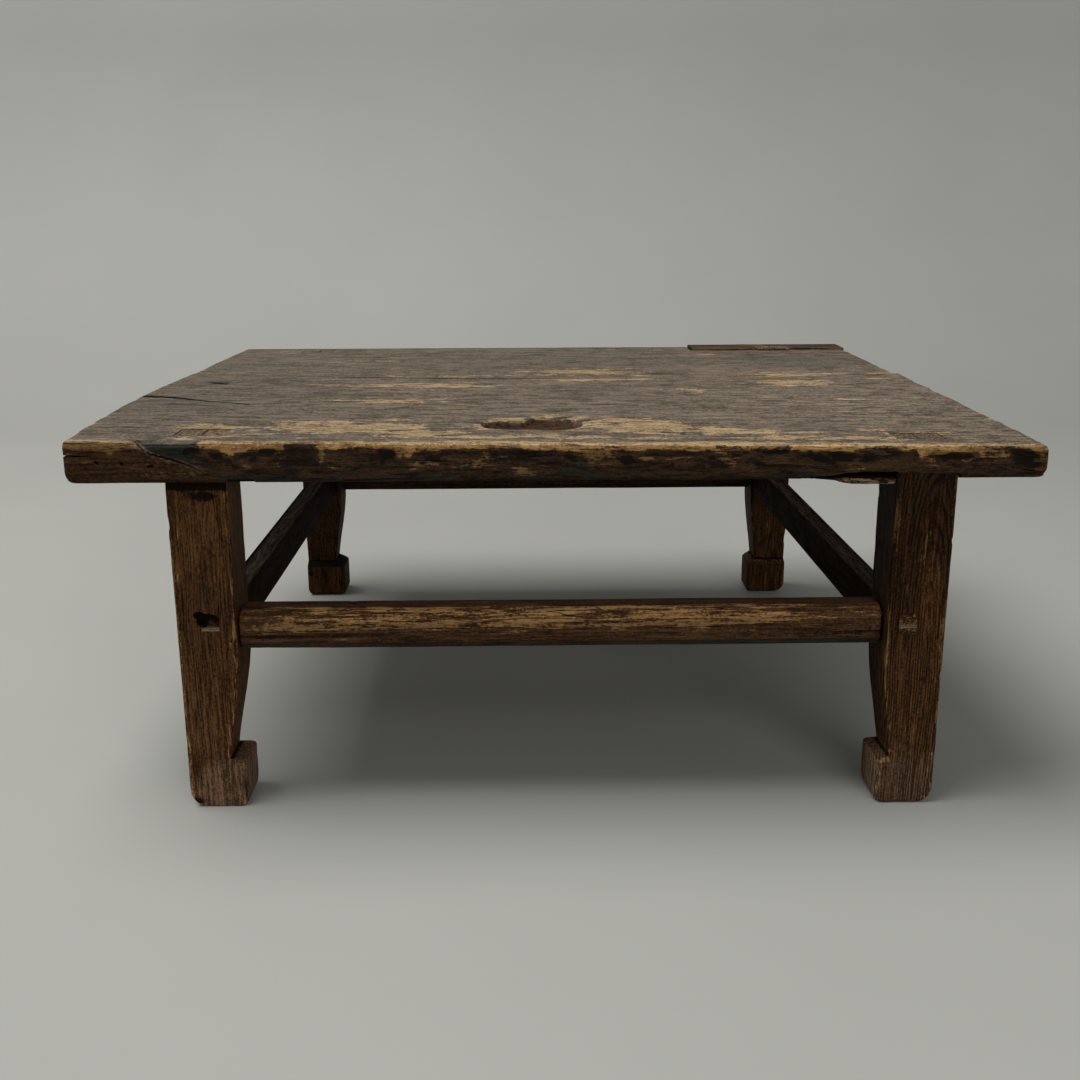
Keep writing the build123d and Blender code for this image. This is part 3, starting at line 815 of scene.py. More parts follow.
def plank_skin(front_line, back_line, left_line, right_line, corners, arrises):
    """Plank surface from a block lattice.

    The block's corners are rounded in plan, its arrises in section, then it is stretched
    between the end lines and the front and back lines, and its thickness follows the
    crowned top. corners are plan radii in the order of CORNERS; a row of arrises is the
    axis it faces, its low or high side, and the radii of its upper and lower arris.
    """
    y0, y1 = front_line(0.0), back_line(LEFT_END)
    roof = UNDERSIDE + PLANK
    x_dense = ((-15, 60, 1.9), (LEFT_END, 16, 1.3), (-340, 50, 1.7), (RIGHT_END, 16, 1.4))
    xs = spread(LEFT_END, RIGHT_END, 2.9, x_dense)
    ys = spread(y0, y1, 3.1, ((y0, 10, 1.2), (y1, 6, 0.8), (-278, 42, 1.7)))
    zs = spread(UNDERSIDE, roof, 1.9, ((UNDERSIDE, 4, 1.2), (roof, 5, 1.1)))
    points, quads, places = block_skin(xs, ys, zs)
    quads = thin_underside(quads, places, (len(xs), len(ys), len(zs)), 3)
    limits = ((LEFT_END, RIGHT_END), (y0, y1))
    for (i, j), radius in zip(CORNERS, corners):
        corner = limits[0][i], limits[1][j]
        points = ease_arris(points, (0, 1), corner, (2 * i - 1, 2 * j - 1), radius)
    shaggy = 1 + 0.40 * rough(points, (24, 24, 60), 51)
    for axis, side, upper, under in arrises:
        place, sign = limits[axis][side], 2 * side - 1
        points = ease_arris(points, (axis, 2), (place, roof), (sign, 1), upper * shaggy)
        points = ease_arris(points, (axis, 2), (place, UNDERSIDE), (sign, -1), under * shaggy)
    t = (points[:, 1] - y0) / (y1 - y0)
    y = front_line(points[:, 0]) * (1 - t) + back_line(points[:, 0]) * t
    share = (points[:, 0] - LEFT_END) / (RIGHT_END - LEFT_END)
    ease = np.clip(1 - share * 9, 0, 1) ** 1.5
    finish = np.clip(share * 9 - 8, 0, 1) ** 1.5
    x = points[:, 0] + (left_line(y) - LEFT_END) * ease + (right_line(y) - RIGHT_END) * finish
    z = UNDERSIDE + (points[:, 2] - UNDERSIDE) / PLANK * (crowned_top(x, y) - UNDERSIDE)
    return np.column_stack([x, y, z]), quads


def side_wear(points, seed):
    """Depth worn off the sides and underside: tool marks along X, lumps and chips."""
    long_marks = rough_share(points, (60, 30, 7), seed)
    lumps = rough_share(points, (30, 30, 16), seed + 5)
    chips = smooth(rough(points, (14, 14, 9), seed + 9, 2), 0.45, 0.85)
    return 0.45 * long_marks + 0.6 * lumps + 0.9 * chips


def slab_distances(points, y_front, y_back, x_left, x_right):
    """Distance below the top, in from the front and back, and in from the nearer end."""
    x, y, z = points.T
    ends = np.minimum(x - x_left(y), x_right(y) - x)
    return crowned_top(x, y) - z, y - y_front, y_back - y, ends


def tenon_place(end, side):
    """Middle in X and front in Y of a leg's tenon."""
    low, high = LEG_BOXES[end, side]
    inset = TENON_INSET[end]
    y0 = low[1] + inset if end == "front" else high[1] - inset - TENON_DEEP
    return (low[0] + high[0]) / 2, y0


def leg_mortise_tools(end):
    """Tools for the through mortises of two legs and the shallow housings of their shoulders."""
    tools = []
    gap, half = 0.5, TENON_WIDE / 2
    for side in SIDES:
        low, high = LEG_BOXES[end, side]
        middle, y0 = tenon_place(end, side)
        mouth = 4 if (end, side) == ("front", "right") else gap
        foot = (middle - half - gap, y0 - gap, LEG_SHOULDER - 1)
        head = (middle + half + gap, y0 + TENON_DEEP + gap, ABOVE)
        tools.append(tapered_box("tenon_tool", foot, head, grow=(3.6, 0)))
        foot = (low[0] - gap, low[1] - mouth, UNDERSIDE - 3)
        head = (high[0] + gap, high[1] + gap, LEG_SHOULDER)
        tools.append(tapered_box("housing_tool", foot, head))
    return tools


def seam_tools():
    """Tools for the loose tenon mortises and the butterfly key recesses along the seam."""
    tools = []
    mortise = np.array([18.3, 30.3, 5.7])
    for x in 150.0 * np.arange(-2, 3):
        middle = np.array([x, seam_line(x), UNDERSIDE + 0.55 * 37])
        tools.append(tapered_box("mortise_tool", middle - mortise, middle + mortise))
    for x in 290.0 * np.arange(-1, 2):
        centre = np.column_stack([np.full(3, x), seam_line(x) + np.array([-42.3, 0.0, 42.3])])
        low, high = UNDERSIDE - 3, UNDERSIDE + 10.3
        tools.append(ribbon_tool("key_tool", centre, (40.6, 22.6, 40.6), low, high, 1))
    return tools


def mortise_rims(x, y, end):
    """Closeness to the outlines of the two leg tenons in a plank, 1 on the line."""
    near = np.zeros_like(x)
    half = TENON_DEEP / 2
    for side in SIDES:
        middle, y0 = tenon_place(end, side)
        dx = np.abs(x - middle) - 22.5
        dy = np.abs(y - y0 - half) - half
        outside = np.hypot(np.maximum(dx, 0), np.maximum(dy, 0))
        line = np.abs(np.where((dx < 0) & (dy < 0), np.maximum(dx, dy), outside))
        near = np.maximum(near, bell(line, 5.0))
    return near


CRACK_RUN = np.linspace(0, 1, 24)


def crack_tools(
    cracks, swing, size, seed, tip, low=0.0, high=ABOVE, run=CRACK_RUN * 0.98 + 0.01, **way
):
    """Crack tools: lines that wander about a straight one and are as wide as a sine.

    A row is start, stop, greatest width and, for cracks in the top, the depth below it;
    run is the share of the half wave that each point has reached.
    """
    tools = []
    for start, stop, wide, *deep in cracks:
        line = np.outer(1 - CRACK_RUN, start) + np.outer(CRACK_RUN, stop)
        line[:, 1] += swing * wander(line[:, 0], size, seed)
        taper = wide * np.sin(np.pi * run) ** 0.7 + tip
        floor = crowned_top(line[:, 0], line[:, 1]) - deep[0] if deep else low
        tools.append(ribbon_tool("crack", line, taper, floor, high, **way))
    return tools


def worm_tools(places, y, radius, length):
    """Worm hole tools through a front face, at places in X and Z."""
    return [hole_tool("worm", (x, y, z), radius, length, 1) for x, z in places]


def front_crack_line():
    """Centre line and width of the long split in from the left end."""
    t = np.linspace(0, 1, 60)
    x = LEFT_END - 2 + 130 * t
    y = FRONT_FACE + 253 - 53 * np.interp(t, (0, 0.10, 0.33, 0.63, 1), (0, 0.02, 0.20, 0.64, 1))
    y = y + 1.6 * wander(x, 16, 61) + 0.7 * wander(x, 5, 62)
    return np.column_stack([x, y]), 8.5 * (1 - t) ** 0.7 * (0.8 + 0.3 * wander(x, 9, 63)) + 0.8


def split_line(rise):
    """X of the slanting split at a share of the front edge's height."""
    heights = (0, 0.137, 0.23, 0.395, 0.563, 0.68, 0.89, 1.05)
    path = np.interp(rise, heights, (-284, -296, -304, -317, -334, -351, -362, -367))
    return path + 1.2 * wander(rise * 40, 6, 68)


# Soft ovals on the planks: middle, reach in both directions, and strength.
FRONT_PATCHES = (
    (-190, -303, 88, 34, 0.95), (-215, -285, 60, 20, 0.82), (-120, -328, 60, 22, 0.88),
    (-164, -150, 66, 20, 0.70), (-140, -40, 98, 24, 0.80), (-321, -305, 36, 24, 0.8),
    (-250, -330, 34, 16, 0.5), (90, -296, 62, 34, 0.95), (60, -262, 50, 16, 0.8),
    (160, -318, 70, 18, 0.72), (153, -62, 38, 22, 0.55), (313, -135, 20, 12, 0.6),
    (332, -329, 44, 20, 0.75), (290, -310, 40, 10, 0.4), (240, -345, 120, 13, 0.72),
    (-300, -348, 80, 13, 0.55), (-60, -300, 30, 14, 0.55), (40, 20, 85, 30, 0.75),
    (283, -8, 56, 30, 0.85), (385, 20, 40, 16, 0.5), (-20, -345, 140, 13, 0.7),
)
BACK_PATCHES = (
    (50, 80, 86, 34, 0.85), (0, 60, 40, 20, 0.6), (290, 50, 60, 26, 0.7),
    (385, 60, 44, 16, 0.6), (223, 271, 36, 16, 0.55), (-120, 40, 90, 16, 0.5),
    (-329, 333, 36, 22, 0.5), (-230, 200, 80, 18, 0.35), (120, 330, 90, 14, 0.4),
    (329, 345, 30, 20, 0.5),
)
FRONT_COOL = (
    (-380, -180, 60, 80, 0.52), (-290, -60, 110, 50, 0.34), (360, -60, 80, 90, 0.12),
    (-150, -220, 120, 25, 0.3),
)
BACK_COOL = ((330, 180, 80, 80, 0.52), (-380, 140, 70, 80, 0.45), (80, 240, 220, 70, 0.4))
FRONT_BLOTS = (
    (-153, 333, 24, 9, 0.62), (-23, 337, 28, 6, 0.80), (297, 335, 14, 8, 0.62),
    (180, 336, 12, 6, 0.55), (-70, 335, 16, 7, 0.55), (110, 338, 20, 5, 0.55),
)
CORNER_BLOTS = ((275, 333, 13, 7, 0.85), (411, 330, 13, 8, 1.0), (404, 338, 14, 3, 0.7))
FRONT_SLATE = (
    (-300, 327, 14, 6, 0.9), (-272, 324, 22, 7, 0.95), (-228, 319, 34, 7, 0.95),
    (21, 329, 16, 7, 0.95), (20, 319, 38, 9, 1.0), (-10, 334, 30, 7, 0.8),
    (87, 322, 26, 9, 0.85), (220, 321, 38, 8, 0.9), (-153, 328, 24, 10, 0.75),
    (-60, 324, 24, 8, 0.75), (150, 330, 22, 9, 0.7), (385, 324, 18, 8, 0.6),
)
# Cracks: start, stop, width, and the depth of those in the top.
FRONT_SPLITS = (
    ((-431, -262), (-398, -268), 1.3, 3),
    ((-388, -12), (-360, -35), 6.5, 6),
    ((-300, -88), (-262, -95), 1.2, 3),
    ((-372, -362), (-352, -366), 2.4, 6),
    ((352, -313), (367, -347), 1.8, 6),
    ((358, -309), (369, -334), 1.4, 5),
    ((302, -330), (348, -327), 1.0, 3),
    ((-345, -322), (-300, -326), 1.0, 3),
)
FACE_CHECKS = (
    ((396, 324), (434, 317.5), 1.2),
    ((404, 317.5), (436, 318), 0.9),
    ((422, 336), (434, 333), 1.0),
    ((-404, 341.5), (-392, 343), 1.1),
    ((-352, 321), (-318, 323.5), 0.8),
    ((-262, 322), (-238, 320.5), 0.8),
    ((60, 330), (96, 328.5), 0.8),
    ((-120, 333), (-86, 331), 0.7),
    ((180, 326), (214, 327.5), 0.8),
)
BACK_SPLITS = (
    ((-433, 88), (-398, 80), 4.5, 9),
    ((-352, 345), (-300, 347), 1.4, 4),
    ((300, 120), (360, 124), 0.9, 3),
)
STRIP_SPLITS = (
    ((262, 338), (300, 341), 1.2),
    ((368, 356), (425, 352), 1.0),
    ((322, 366), (345, 364), 1.4),
)
FACE_WORMS = ((-396.9, 331.3), (-376.2, 331.1), (-353.2, 328.3), (-398.6, 332.6), (-350.6, 328.9))


def add_patches(x, y, rows, join=np.maximum):
    """Soft ovals at each point: the strongest of them, or another join of all."""
    total = np.zeros_like(x)
    for cx, cy, reach_x, reach_y, strength in rows:
        total = join(total, strength * patch(x, y, (cx, cy), (reach_x, reach_y)))
    return total


def seam_grime(x, distance, low, high, upper):
    """Dirt along the seam, rubbed away to the left of the middle."""
    clear = np.clip(bell(x + 130, 150) * 1.2, 0.3, 1)
    return (1 - smooth(distance, low, high)) * upper * clear


def end_check_tool():
    """Level slot in the left end grain, thinning out along the front face."""
    xs = np.linspace(LEFT_END - 2, LEFT_END + 31, 24)
    ys = np.linspace(FRONT_FACE - 2, FRONT_FACE + 34, 8)
    points, faces, _ = block_skin(xs, ys, (0, 1))
    x = points[:, 0]
    share = (x - LEFT_END) / 31
    thick = 3.1 * np.clip(1.05 - share, 0.2, 1) * (1 + 0.3 * wander(x, 6, 66))
    thick = thick * np.interp(x, (LEFT_END - 2, LEFT_END + 4, LEFT_END + 9), (0.25, 0.45, 1))
    middle = UNDERSIDE + 24.6 + 0.5 * wander(x, 9, 65) + 2.2 * smooth(share, 0.9, 1.0)
    points[:, 2] = middle + (points[:, 2] - 0.5) * thick
    return make_piece("end_check", points, faces)


def splinter_gap_tools():
    """The broken notch and the split that the splinter hangs from."""
    foot = (-285.3, FRONT_FACE - 3, UNDERSIDE - 3)
    notch = tapered_box("notch", foot, (-262, FRONT_FACE + 7, UNDERSIDE + 3.6))
    xs = np.linspace(216, 301.3, 20)
    points, faces, _ = block_skin(xs, (FRONT_FACE - 3, FRONT_FACE + 26), (0, 1))
    x = points[:, 0]
    roof = UNDERSIDE + np.interp(x, (216, 246, 256, 300), (1.8, 3.8, 6.3, 6.8))
    roof = roof + 0.7 * wander(x, 8, 67)
    points[:, 2] = np.where(points[:, 2] > 0.5, roof, UNDERSIDE - 3)
    return [notch, make_piece("split_roof", points, faces)]


def long_split_tool():
    """The slanting split in the front edge, widest at two thirds of its height."""
    rise = np.linspace(0.97, 0.16, 40)
    line = np.column_stack([split_line(rise), UNDERSIDE + PLANK * rise])
    taper = np.interp(rise, (0.16, 0.3, 0.55, 0.66, 0.76, 1), (0.3, 0.7, 1.5, 1.7, 0.5, 0.25))
    taper = taper * (1 + 0.35 * wander(rise * 40, 5, 69))
    return ribbon_tool("long_split", line, taper, FRONT_FACE + 13, FRONT_FACE - 3, 0.2, FACE_ON)


def build_front_plank():
    """Front plank: crowned slab with the knot hollow, splits, wane and worn arris."""
    points, quads = plank_skin(
        straight(FRONT_FACE),
        lambda x: seam_line(x) - SEAM_GAP,
        left_front_end,
        straight(RIGHT_END),
        (5, 7, 0.01, 0.01),
        ((1, 0, 6.0, 3.6), (0, 0, 5.5, 11.0), (0, 1, 8.5, 13.0), (1, 1, 0.9, 0.6)),
    )
    normals = vertex_normals(points, quads)
    x, y, z = points.T
    facing = smooth(normals[:, 2], 0.5, 0.85)
    near_seam = smooth(seam_line(x) - y, 0.5, 3)
    knot = knot_depth(x, y) * facing * chosen("top").hollow_depth
    knot = knot + 0.9 * facing * smooth(knot_reach(x, y, 1.35), 0.0, 0.3)
    side = (1 - facing) * side_wear(points, 71) * near_seam
    points[:, 2] -= facing * top_wear(x, y) * (0.25 + 0.75 * near_seam) + knot
    points -= normals * side[:, None]

    # Wane: a scoop in the left of the front edge, lying above a long slanting split.
    rise = (z - UNDERSIDE) / PLANK
    behind_split = x - split_line(rise)
    scoop = smooth(behind_split, -1.5, 3) * (1 - smooth(x, -322, -300)) * smooth(rise, 0.2, 0.45)
    front_only = 1 - smooth(y - FRONT_FACE, 5, 18)
    points[:, 1] += 4.4 * scoop * front_only
    points[:, 2] -= 2.0 * scoop * front_only * smooth(rise, 0.75, 1.0)
    lip = bell(behind_split + 5, 5) * smooth(rise, 0.1, 0.3)
    points[:, 1] += 0.9 * (1 - lip) * smooth(-normals[:, 1], 0.5, 0.9) * (x < -300)
    points[:, 2] = np.maximum(points[:, 2], UNDERSIDE)
    piece = make_piece("front_plank_worn", points, quads)

    open_line, width = front_crack_line()
    tools = [ribbon_tool("crack", open_line, width, UNDERSIDE + 28, ABOVE)]
    tools += crack_tools(FRONT_SPLITS, 1.2, 7, 64, 0.15)
    tools.append(long_split_tool())
    low, high = FRONT_FACE + 5, FRONT_FACE - 3
    tools += crack_tools(FACE_CHECKS, 0.7, 7, 70, 0.12, low, high, foot=0.2, axes=FACE_ON)
    tools += [end_check_tool(), *splinter_gap_tools()]
    tools += worm_tools(FACE_WORMS, FRONT_FACE, 1.25, 14)
    carve(piece, tools + leg_mortise_tools("front") + seam_tools())

    points, normals = read_points(piece)
    x, y, z = points.T
    rise = (z - UNDERSIDE) / PLANK
    below_top, behind, near_seam, in_from_end = slab_distances(
        points, FRONT_FACE, seam_line(x), left_front_end, straight(RIGHT_END)
    )
    face = smooth(-normals[:, 1], 0.35, 0.75)
    end_face = smooth(np.abs(normals[:, 0]), 0.6, 0.9)
    below = smooth(-normals[:, 2], 0.5, 0.9)
    upper = smooth(normals[:, 2], 0.45, 0.8) * (1 - smooth(below_top, 9, 12))
    in_knot = smooth(knot_depth(x, y), 0.10, 0.5) * upper
    rim = smooth(knot_reach(x, y - 4, 1.42), 0.0, 0.25) * (1 - in_knot) * upper
    left_end = (1 - smooth(x - split_line(rise), -6, 2)) * face
    right_end = smooth(x, 412, 426) * np.maximum(face, end_face)
    foot = smooth(np.clip(below_top / PLANK, 0, 1), 0.35, 0.85)
    blobs = rough_share(points, (30, 30, 14), 83)

    # The arris is rubbed to a band whose depth wanders along the edge.
    band = 6.4 + 2.6 * wander(x, 30, 81) + 1.6 * wander(x, 9, 82)
    band = band + 10 * smooth(wander(x, 17, 84), 0.12, 0.6)
    top_reach = 7 + 10 * smooth(wander(x, 60, 86), -0.2, 0.7)
    arris = np.hypot(below_top / np.maximum(band, 1.5), behind / top_reach)
    uneven = 0.72 + 0.28 * smooth(wander(x, 40, 87), -0.6, 0.1)
    arris = 1.20 * (1 - smooth(arris, 0.5, 1.3)) * uneven
    scooped = smooth(x - split_line(rise), 0, 4) * (1 - smooth(x, -318, -302)) * smooth(z, 324, 329)
    scooped_top = (1 - smooth(y - FRONT_FACE, 8, 24)) * smooth(x, -366, -356)
    scooped = scooped * np.maximum(face, scooped_top)

    stain = smooth(x, -236, -234) * (1 - smooth(x, -208, -206))
    stain = stain * smooth(z, 325, 329) * (1 - smooth(z, 346, 349))
    dashes = bell(x + 203.5, 2.6) * smooth(z, 324, 330)
    dashes = dashes + 0.8 * bell(x + 239.5, 3.0) * smooth(z, 322, 330)
    cluster = smooth(rough(points, (21, 30, 9), 85), 0.0, 0.42)
    under_band = bell(below_top - band - 5, 6.5)
    blotches = np.minimum(add_patches(x, z, CORNER_BLOTS, np.add), 1)
    blotches = np.maximum(blotches, add_patches(x, z, FRONT_BLOTS)) * face
    off_crack = np.abs(y - np.interp(x, *open_line.T)) * (x < open_line[-1, 0])
    off_crack = off_crack + 99 * (x >= open_line[-1, 0])
    grime = bell(off_crack, 3 + 5 * smooth(-x, 330, 430)) + patch(x, y, (-373, -23), (15, 8))

    worn = strongest(
        arris * (1 - 0.75 * scooped),
        bell(np.hypot(below_top, in_from_end), 6) * 0.6,
        add_patches(x, y, FRONT_PATCHES) * upper * (1 - in_knot),
        mortise_rims(x, y, "front") * 0.42 * upper,
        0.6 * rim,
        0.62 * dashes * face,
        face * smooth(blobs, 0.50, 0.70) * 0.72 * (1 - smooth(below_top, 18, 32)),
        patch(x, z, (394, 336), (4.5, 6)) * face,
        0.95 * (patch(x, z, (36, 337), (15, 5)) * face),
        0.26 * left_end * (0.6 + 0.8 * blobs),
        0.34 * right_end,
    )
    slate = strongest(
        face * (0.04 + 0.52 * foot + 0.30 * (blobs - 0.5)) * (1 - left_end) * (1 - right_end),
        0.66 * add_patches(x, z, FRONT_SLATE) * face,
        upper * (add_patches(x, y, FRONT_COOL, np.add) + 0.14),
        0.85 * scooped,
    )
    dark = strongest(
        0.50 * stain * face,
        0.46 * in_knot,
        0.95 * seam_grime(x, near_seam, 1.2, 4.2, upper),
        # Painted shade: the underside darker.
        0.22 * below,
        0.85 * blotches,
        face * (0.92 * cluster * (0.5 + 0.5 * under_band)) * (1 - 0.7 * left_end),
        0.9 * np.minimum(grime, 1) * upper,
        0.42 * left_end * (1 - smooth(z, 317, 322)),
    )
    paler = upper * (0.10 + 0.22 * patch(x, y, (330, -140), (190, 170))) * smooth(x, -330, -120)
    deeper = face * (0.16 + 0.30 * foot) * (1 - np.minimum(arris, 1))
    marks = {
        "upper": upper * (1 - in_knot),
        "paler": np.maximum(paler, 0.5 * np.minimum(arris, 1) * face * (1 - scooped)),
        "deeper": strongest(deeper, 0.56 * left_end, 0.30 * right_end, 0.25 * in_knot),
        "worn": worn * (1 - 0.75 * np.maximum(stain * face, blotches)),
        "slate": slate * (1 - 0.8 * worn) * (1 - stain),
        "dark": dark,
        "bare": strongest(left_end * 0.8, in_knot * 0.8, right_end * 0.8),
    }
    wood = aged_wood(
        "top_wood_front", "X", "edge", 1, 6.0, (-210, 215), polish_and_light=True, wide=2.0, mottle=1.3
    )
    finish_piece(piece, marks, wood, "top_wood", "front_plank")


def build_back_plank():
    """Back plank: crowned slab behind the bowed seam, rebated for the repair strip."""
    points, quads = plank_skin(
        lambda x: seam_line(x) + SEAM_GAP,
        straight(BACK_FACE),
        back_left_end,
        back_right_end,
        (0.01, 0.01, 6, 6),
        ((1, 1, 3.4, 4.0), (0, 0, 3.8, 4.0), (0, 1, 3.6, 4.0), (1, 0, 0.9, 0.6)),
    )
    normals = vertex_normals(points, quads)
    x, y, _ = points.T
    facing = smooth(normals[:, 2], 0.5, 0.85)
    near_seam = smooth(y - seam_line(x), 0.5, 3)
    points[:, 2] -= facing * top_wear(x, y) * (0.25 + 0.75 * near_seam)
    points -= normals * ((1 - facing) * side_wear(points, 91) * near_seam)[:, None]
    points[:, 2] = np.maximum(points[:, 2], UNDERSIDE)
    piece = make_piece("back_plank_worn", points, quads)
    tools = leg_mortise_tools("back") + seam_tools()
    seat = STRIP_LOW - (0.3, 0.3, 0.2)
    tools.append(tapered_box("strip_seat", seat, (RIGHT_END + 5, BACK_FACE + 5, ABOVE)))
    tools += crack_tools(BACK_SPLITS, 1.2, 7, 94, 0.15, run=CRACK_RUN * 0.6 + 0.38)
    carve(piece, tools)

    points, normals = read_points(piece)
    x, y, _ = points.T
    below_top, behind_seam, from_back, in_from_end = slab_distances(
        points, seam_line(x), BACK_FACE, back_left_end, back_right_end
    )
    upper = smooth(normals[:, 2], 0.45, 0.8) * (1 - smooth(below_top, 3, 6))
    band = 4.0 + 2.6 * wander(x, 30, 101)
    end_grain = smooth(np.abs(normals[:, 0]), 0.5, 0.8)
    outer = smooth(normals[:, 1], 0.4, 0.8) + end_grain
    blobs = rough_share(points, (34, 30, 16), 103)
    worn = strongest(
        bell(np.hypot(below_top, from_back), np.maximum(band, 1.5)),
        bell(np.hypot(below_top, in_from_end), 5) * 0.7,
        add_patches(x, y, BACK_PATCHES) * upper,
        mortise_rims(x, y, "back") * 0.42 * upper,
        0.45 * outer * smooth(blobs, 0.6, 0.85),
    )
    slate = outer * (0.35 + 0.3 * np.clip(below_top / PLANK, 0, 1) + 0.4 * (blobs - 0.5))
    slate = slate * (1 - 0.75 * end_grain)
    slate = np.maximum(slate, upper * (add_patches(x, y, BACK_COOL, np.add) + 0.14))
    clots = smooth(rough(points, (24, 24, 10), 105), 0.1, 0.5)
    marks = {
        "upper": upper,
        "paler": upper * (0.05 + 0.22 * patch(x, y, (330, 40), (170, 110))),
        "deeper": 0.3 * outer * (1 - 0.4 * end_grain),
        "worn": worn,
        "slate": slate * (1 - 0.8 * worn),
        "dark": strongest(
            0.95 * seam_grime(x, behind_seam, 1.0, 3.6, upper),
            # Painted shade: the underside darker.
            smooth(-normals[:, 2], 0.5, 0.9) * 0.22,
            0.55 * outer * clots * (1 - 0.5 * end_grain),
        ),
        "bare": 0.8 * end_grain,
    }
    wood = aged_wood(
        "top_wood_back", "X", "edge", 12, 6.5, (260, 250), polish_and_light=True, wide=2.0, mottle=1.3
    )
    finish_piece(piece, marks, wood, "top_wood", "back_plank")


def splinter_flakes(points, width):
    """Noise of the splinter's flakes, and the cracks that lie where it crosses zero."""
    flakes = rough(points, (8, 12, 3.4), 113, 2)
    return flakes, bell(flakes, width) * smooth(points[:, 0], 240, 250)


def build_splinter():
    """Sagging splinter under the front arris, split from the plank beside the right leg."""
    ys = spread(FRONT_FACE + 1.8, FRONT_FACE + 24, 1.5)
    points, quads, _ = block_skin(spread(206, 299.9, 1.3), ys, spread(0, 1, 0.12))
    x, y, z = points.T
    high = UNDERSIDE + np.interp(x, (206, 244, 253, 262, 300), (1.3, 1.5, 2.0, 2.6, 1.4))
    sag = np.interp(x, (206, 226, 246, 254, 262, 300), (0.9, 0.2, -1.6, -4.4, -5.4, -5.9))
    low = UNDERSIDE + sag
    depth = (y - FRONT_FACE - 1.8) / 22.2
    bulge = 0.45 + 0.55 * np.sqrt(1 - (1 - np.clip(depth * 3.2, 0, 1)) ** 2)
    half = (high - low) / 2 * bulge
    scales = 0.5 * rough(points, (9, 30, 4), 111) + 0.45 * rough(points, (3, 9, 3), 112, 2)
    points[:, 2] = (high + low) / 2 + (z * 2 - 1) * half - (z * 2 - 1) * np.abs(scales) * 0.8
    points[:, 2] = np.maximum(points[:, 2], UNDERSIDE - 6)
    _, cracks = splinter_flakes(points, 0.09)
    points[:, 1] += (1 - depth) * ((0.6 + scales) * 0.9 + 0.9 * cracks)
    piece = make_piece("front_splinter", points, quads)

    points, normals = read_points(piece)
    x = points[:, 0]
    top_side = smooth(normals[:, 2], 0.3, 0.8)
    flakes, cracks = splinter_flakes(points, 0.12)
    marks = {
        "deeper": np.full_like(x, 0.32),
        "worn": 0.95 * smooth(x, 244, 252) * (0.8 + 0.4 * flakes) * (1 - 0.6 * top_side),
        "slate": 0.85 * (1 - smooth(x, 240, 250)),
        "dark": np.maximum(0.5 * top_side, 0.95 * cracks),
    }
    wood = aged_wood("splinter_wood", "X", "edge", 23, 3.0, (-330, 290), rub="worn")
    finish_piece(piece, marks, wood, "top_wood", "front_plank")


def worm_field(points):
    """Wormy ground of the strip: small hollows of a noise inside one soft oval."""
    holes = smooth(rough(points, (12, 4, 20), 124), 0.0, 0.4)
    return patch(points[:, 0], points[:, 1], (322, 352), (26, 14)) * holes


def build_repair_strip():
    """Repair strip let into the back arris, standing a little proud and split by the leg."""
    low, high = STRIP_LOW, STRIP_HIGH
    xs = spread(low[0], high[0], 2.0, ((low[0], 5, 0.8), (high[0], 5, 0.8)))
    ys = spread(low[1], high[1], 1.6, ((low[1], 3, 0.6), (high[1], 3, 0.6)))
    points, quads, _ = block_skin(xs, ys, spread(low[2], high[2], 1.6))
    points = ease_arris(points, (0, 1), (high[0], high[1]), (1, 1), 6)
    shaggy = 1 + 0.5 * rough(points, (14, 14, 30), 121)
    for axis, place, sign in ((0, low[0], -1), (0, high[0], 1), (1, low[1], -1), (1, high[1], 1)):
        points = ease_arris(points, (axis, 2), (place, high[2]), (sign, 1), 1.7 * shaggy)
    x, y, z = points.T
    x = x + (back_right_end(y) - high[0]) * smooth(x, high[0] - 60, high[0])
    points = np.column_stack([x, y, z])
    normals = vertex_normals(points, quads)
    facing = smooth(normals[:, 2], 0.5, 0.85)
    worn_down = 0.3 + 0.3 * rough(points, (60, 9, 30), 122)
    worn_down = worn_down + 0.4 * smooth(rough(points, (18, 6, 30), 123), 0.3, 0.7)
    points[:, 2] -= facing * (worn_down + 2.0 * worm_field(points))
    lumps = 0.25 + 0.25 * rough(points, (20, 20, 8), 125)
    side = (1 - facing) * smooth(z, low[2] + 1, low[2] + 3) * lumps
    points -= normals * side[:, None]
    piece = make_piece("repair_strip_worn", points, quads)

    middle, y0 = tenon_place("back", "right")
    foot, head = low[2] - 5, high[2] + 5
    half = TENON_WIDE / 2 + 1.9
    tenon_foot = (middle - half, y0 - 0.5, foot)
    tenon_head = (middle + half, y0 + TENON_DEEP + 0.5, head)
    trim_foot, trim_head = (low[0] - 9, low[1] - 5, foot), (low[0] + 0.2, high[1] + 5, head)
    tools = [
        tapered_box("tenon_tool", tenon_foot, tenon_head),
        tapered_box("trim", trim_foot, trim_head, shift=(2.5, 0)),
    ]
    run = np.clip(CRACK_RUN, 0.02, 0.98)
    tools += crack_tools(STRIP_SPLITS, 0.8, 6, 126, 0.12, high[2] - 5, head, run)
    carve(piece, tools)

    points, _ = read_points(piece)
    x, y, z = points.T
    edge = strongest(low[0] - x, x - back_right_end(y), low[1] - y, y - high[1])
    arris = bell(np.hypot(high[2] - z, edge), 3.2)
    holes = worm_field(points)
    marks = {
        "deeper": np.full_like(x, 0.42),
        "worn": np.maximum(0.75 * arris, 0.62 * patch(x, y, (322, 350), (34, 16))) * (1 - holes),
        "slate": 0.3 + 0.3 * rough(points, (50, 14, 20), 127),
        # Painted shade in the worm hollows.
        "dark": holes * 0.9,
    }
    wood = aged_wood("repair_wood", "X", "strip", 31, 3.2, (330, 300))
    finish_piece(piece, marks, wood, "repair_wood", "repair_strip")


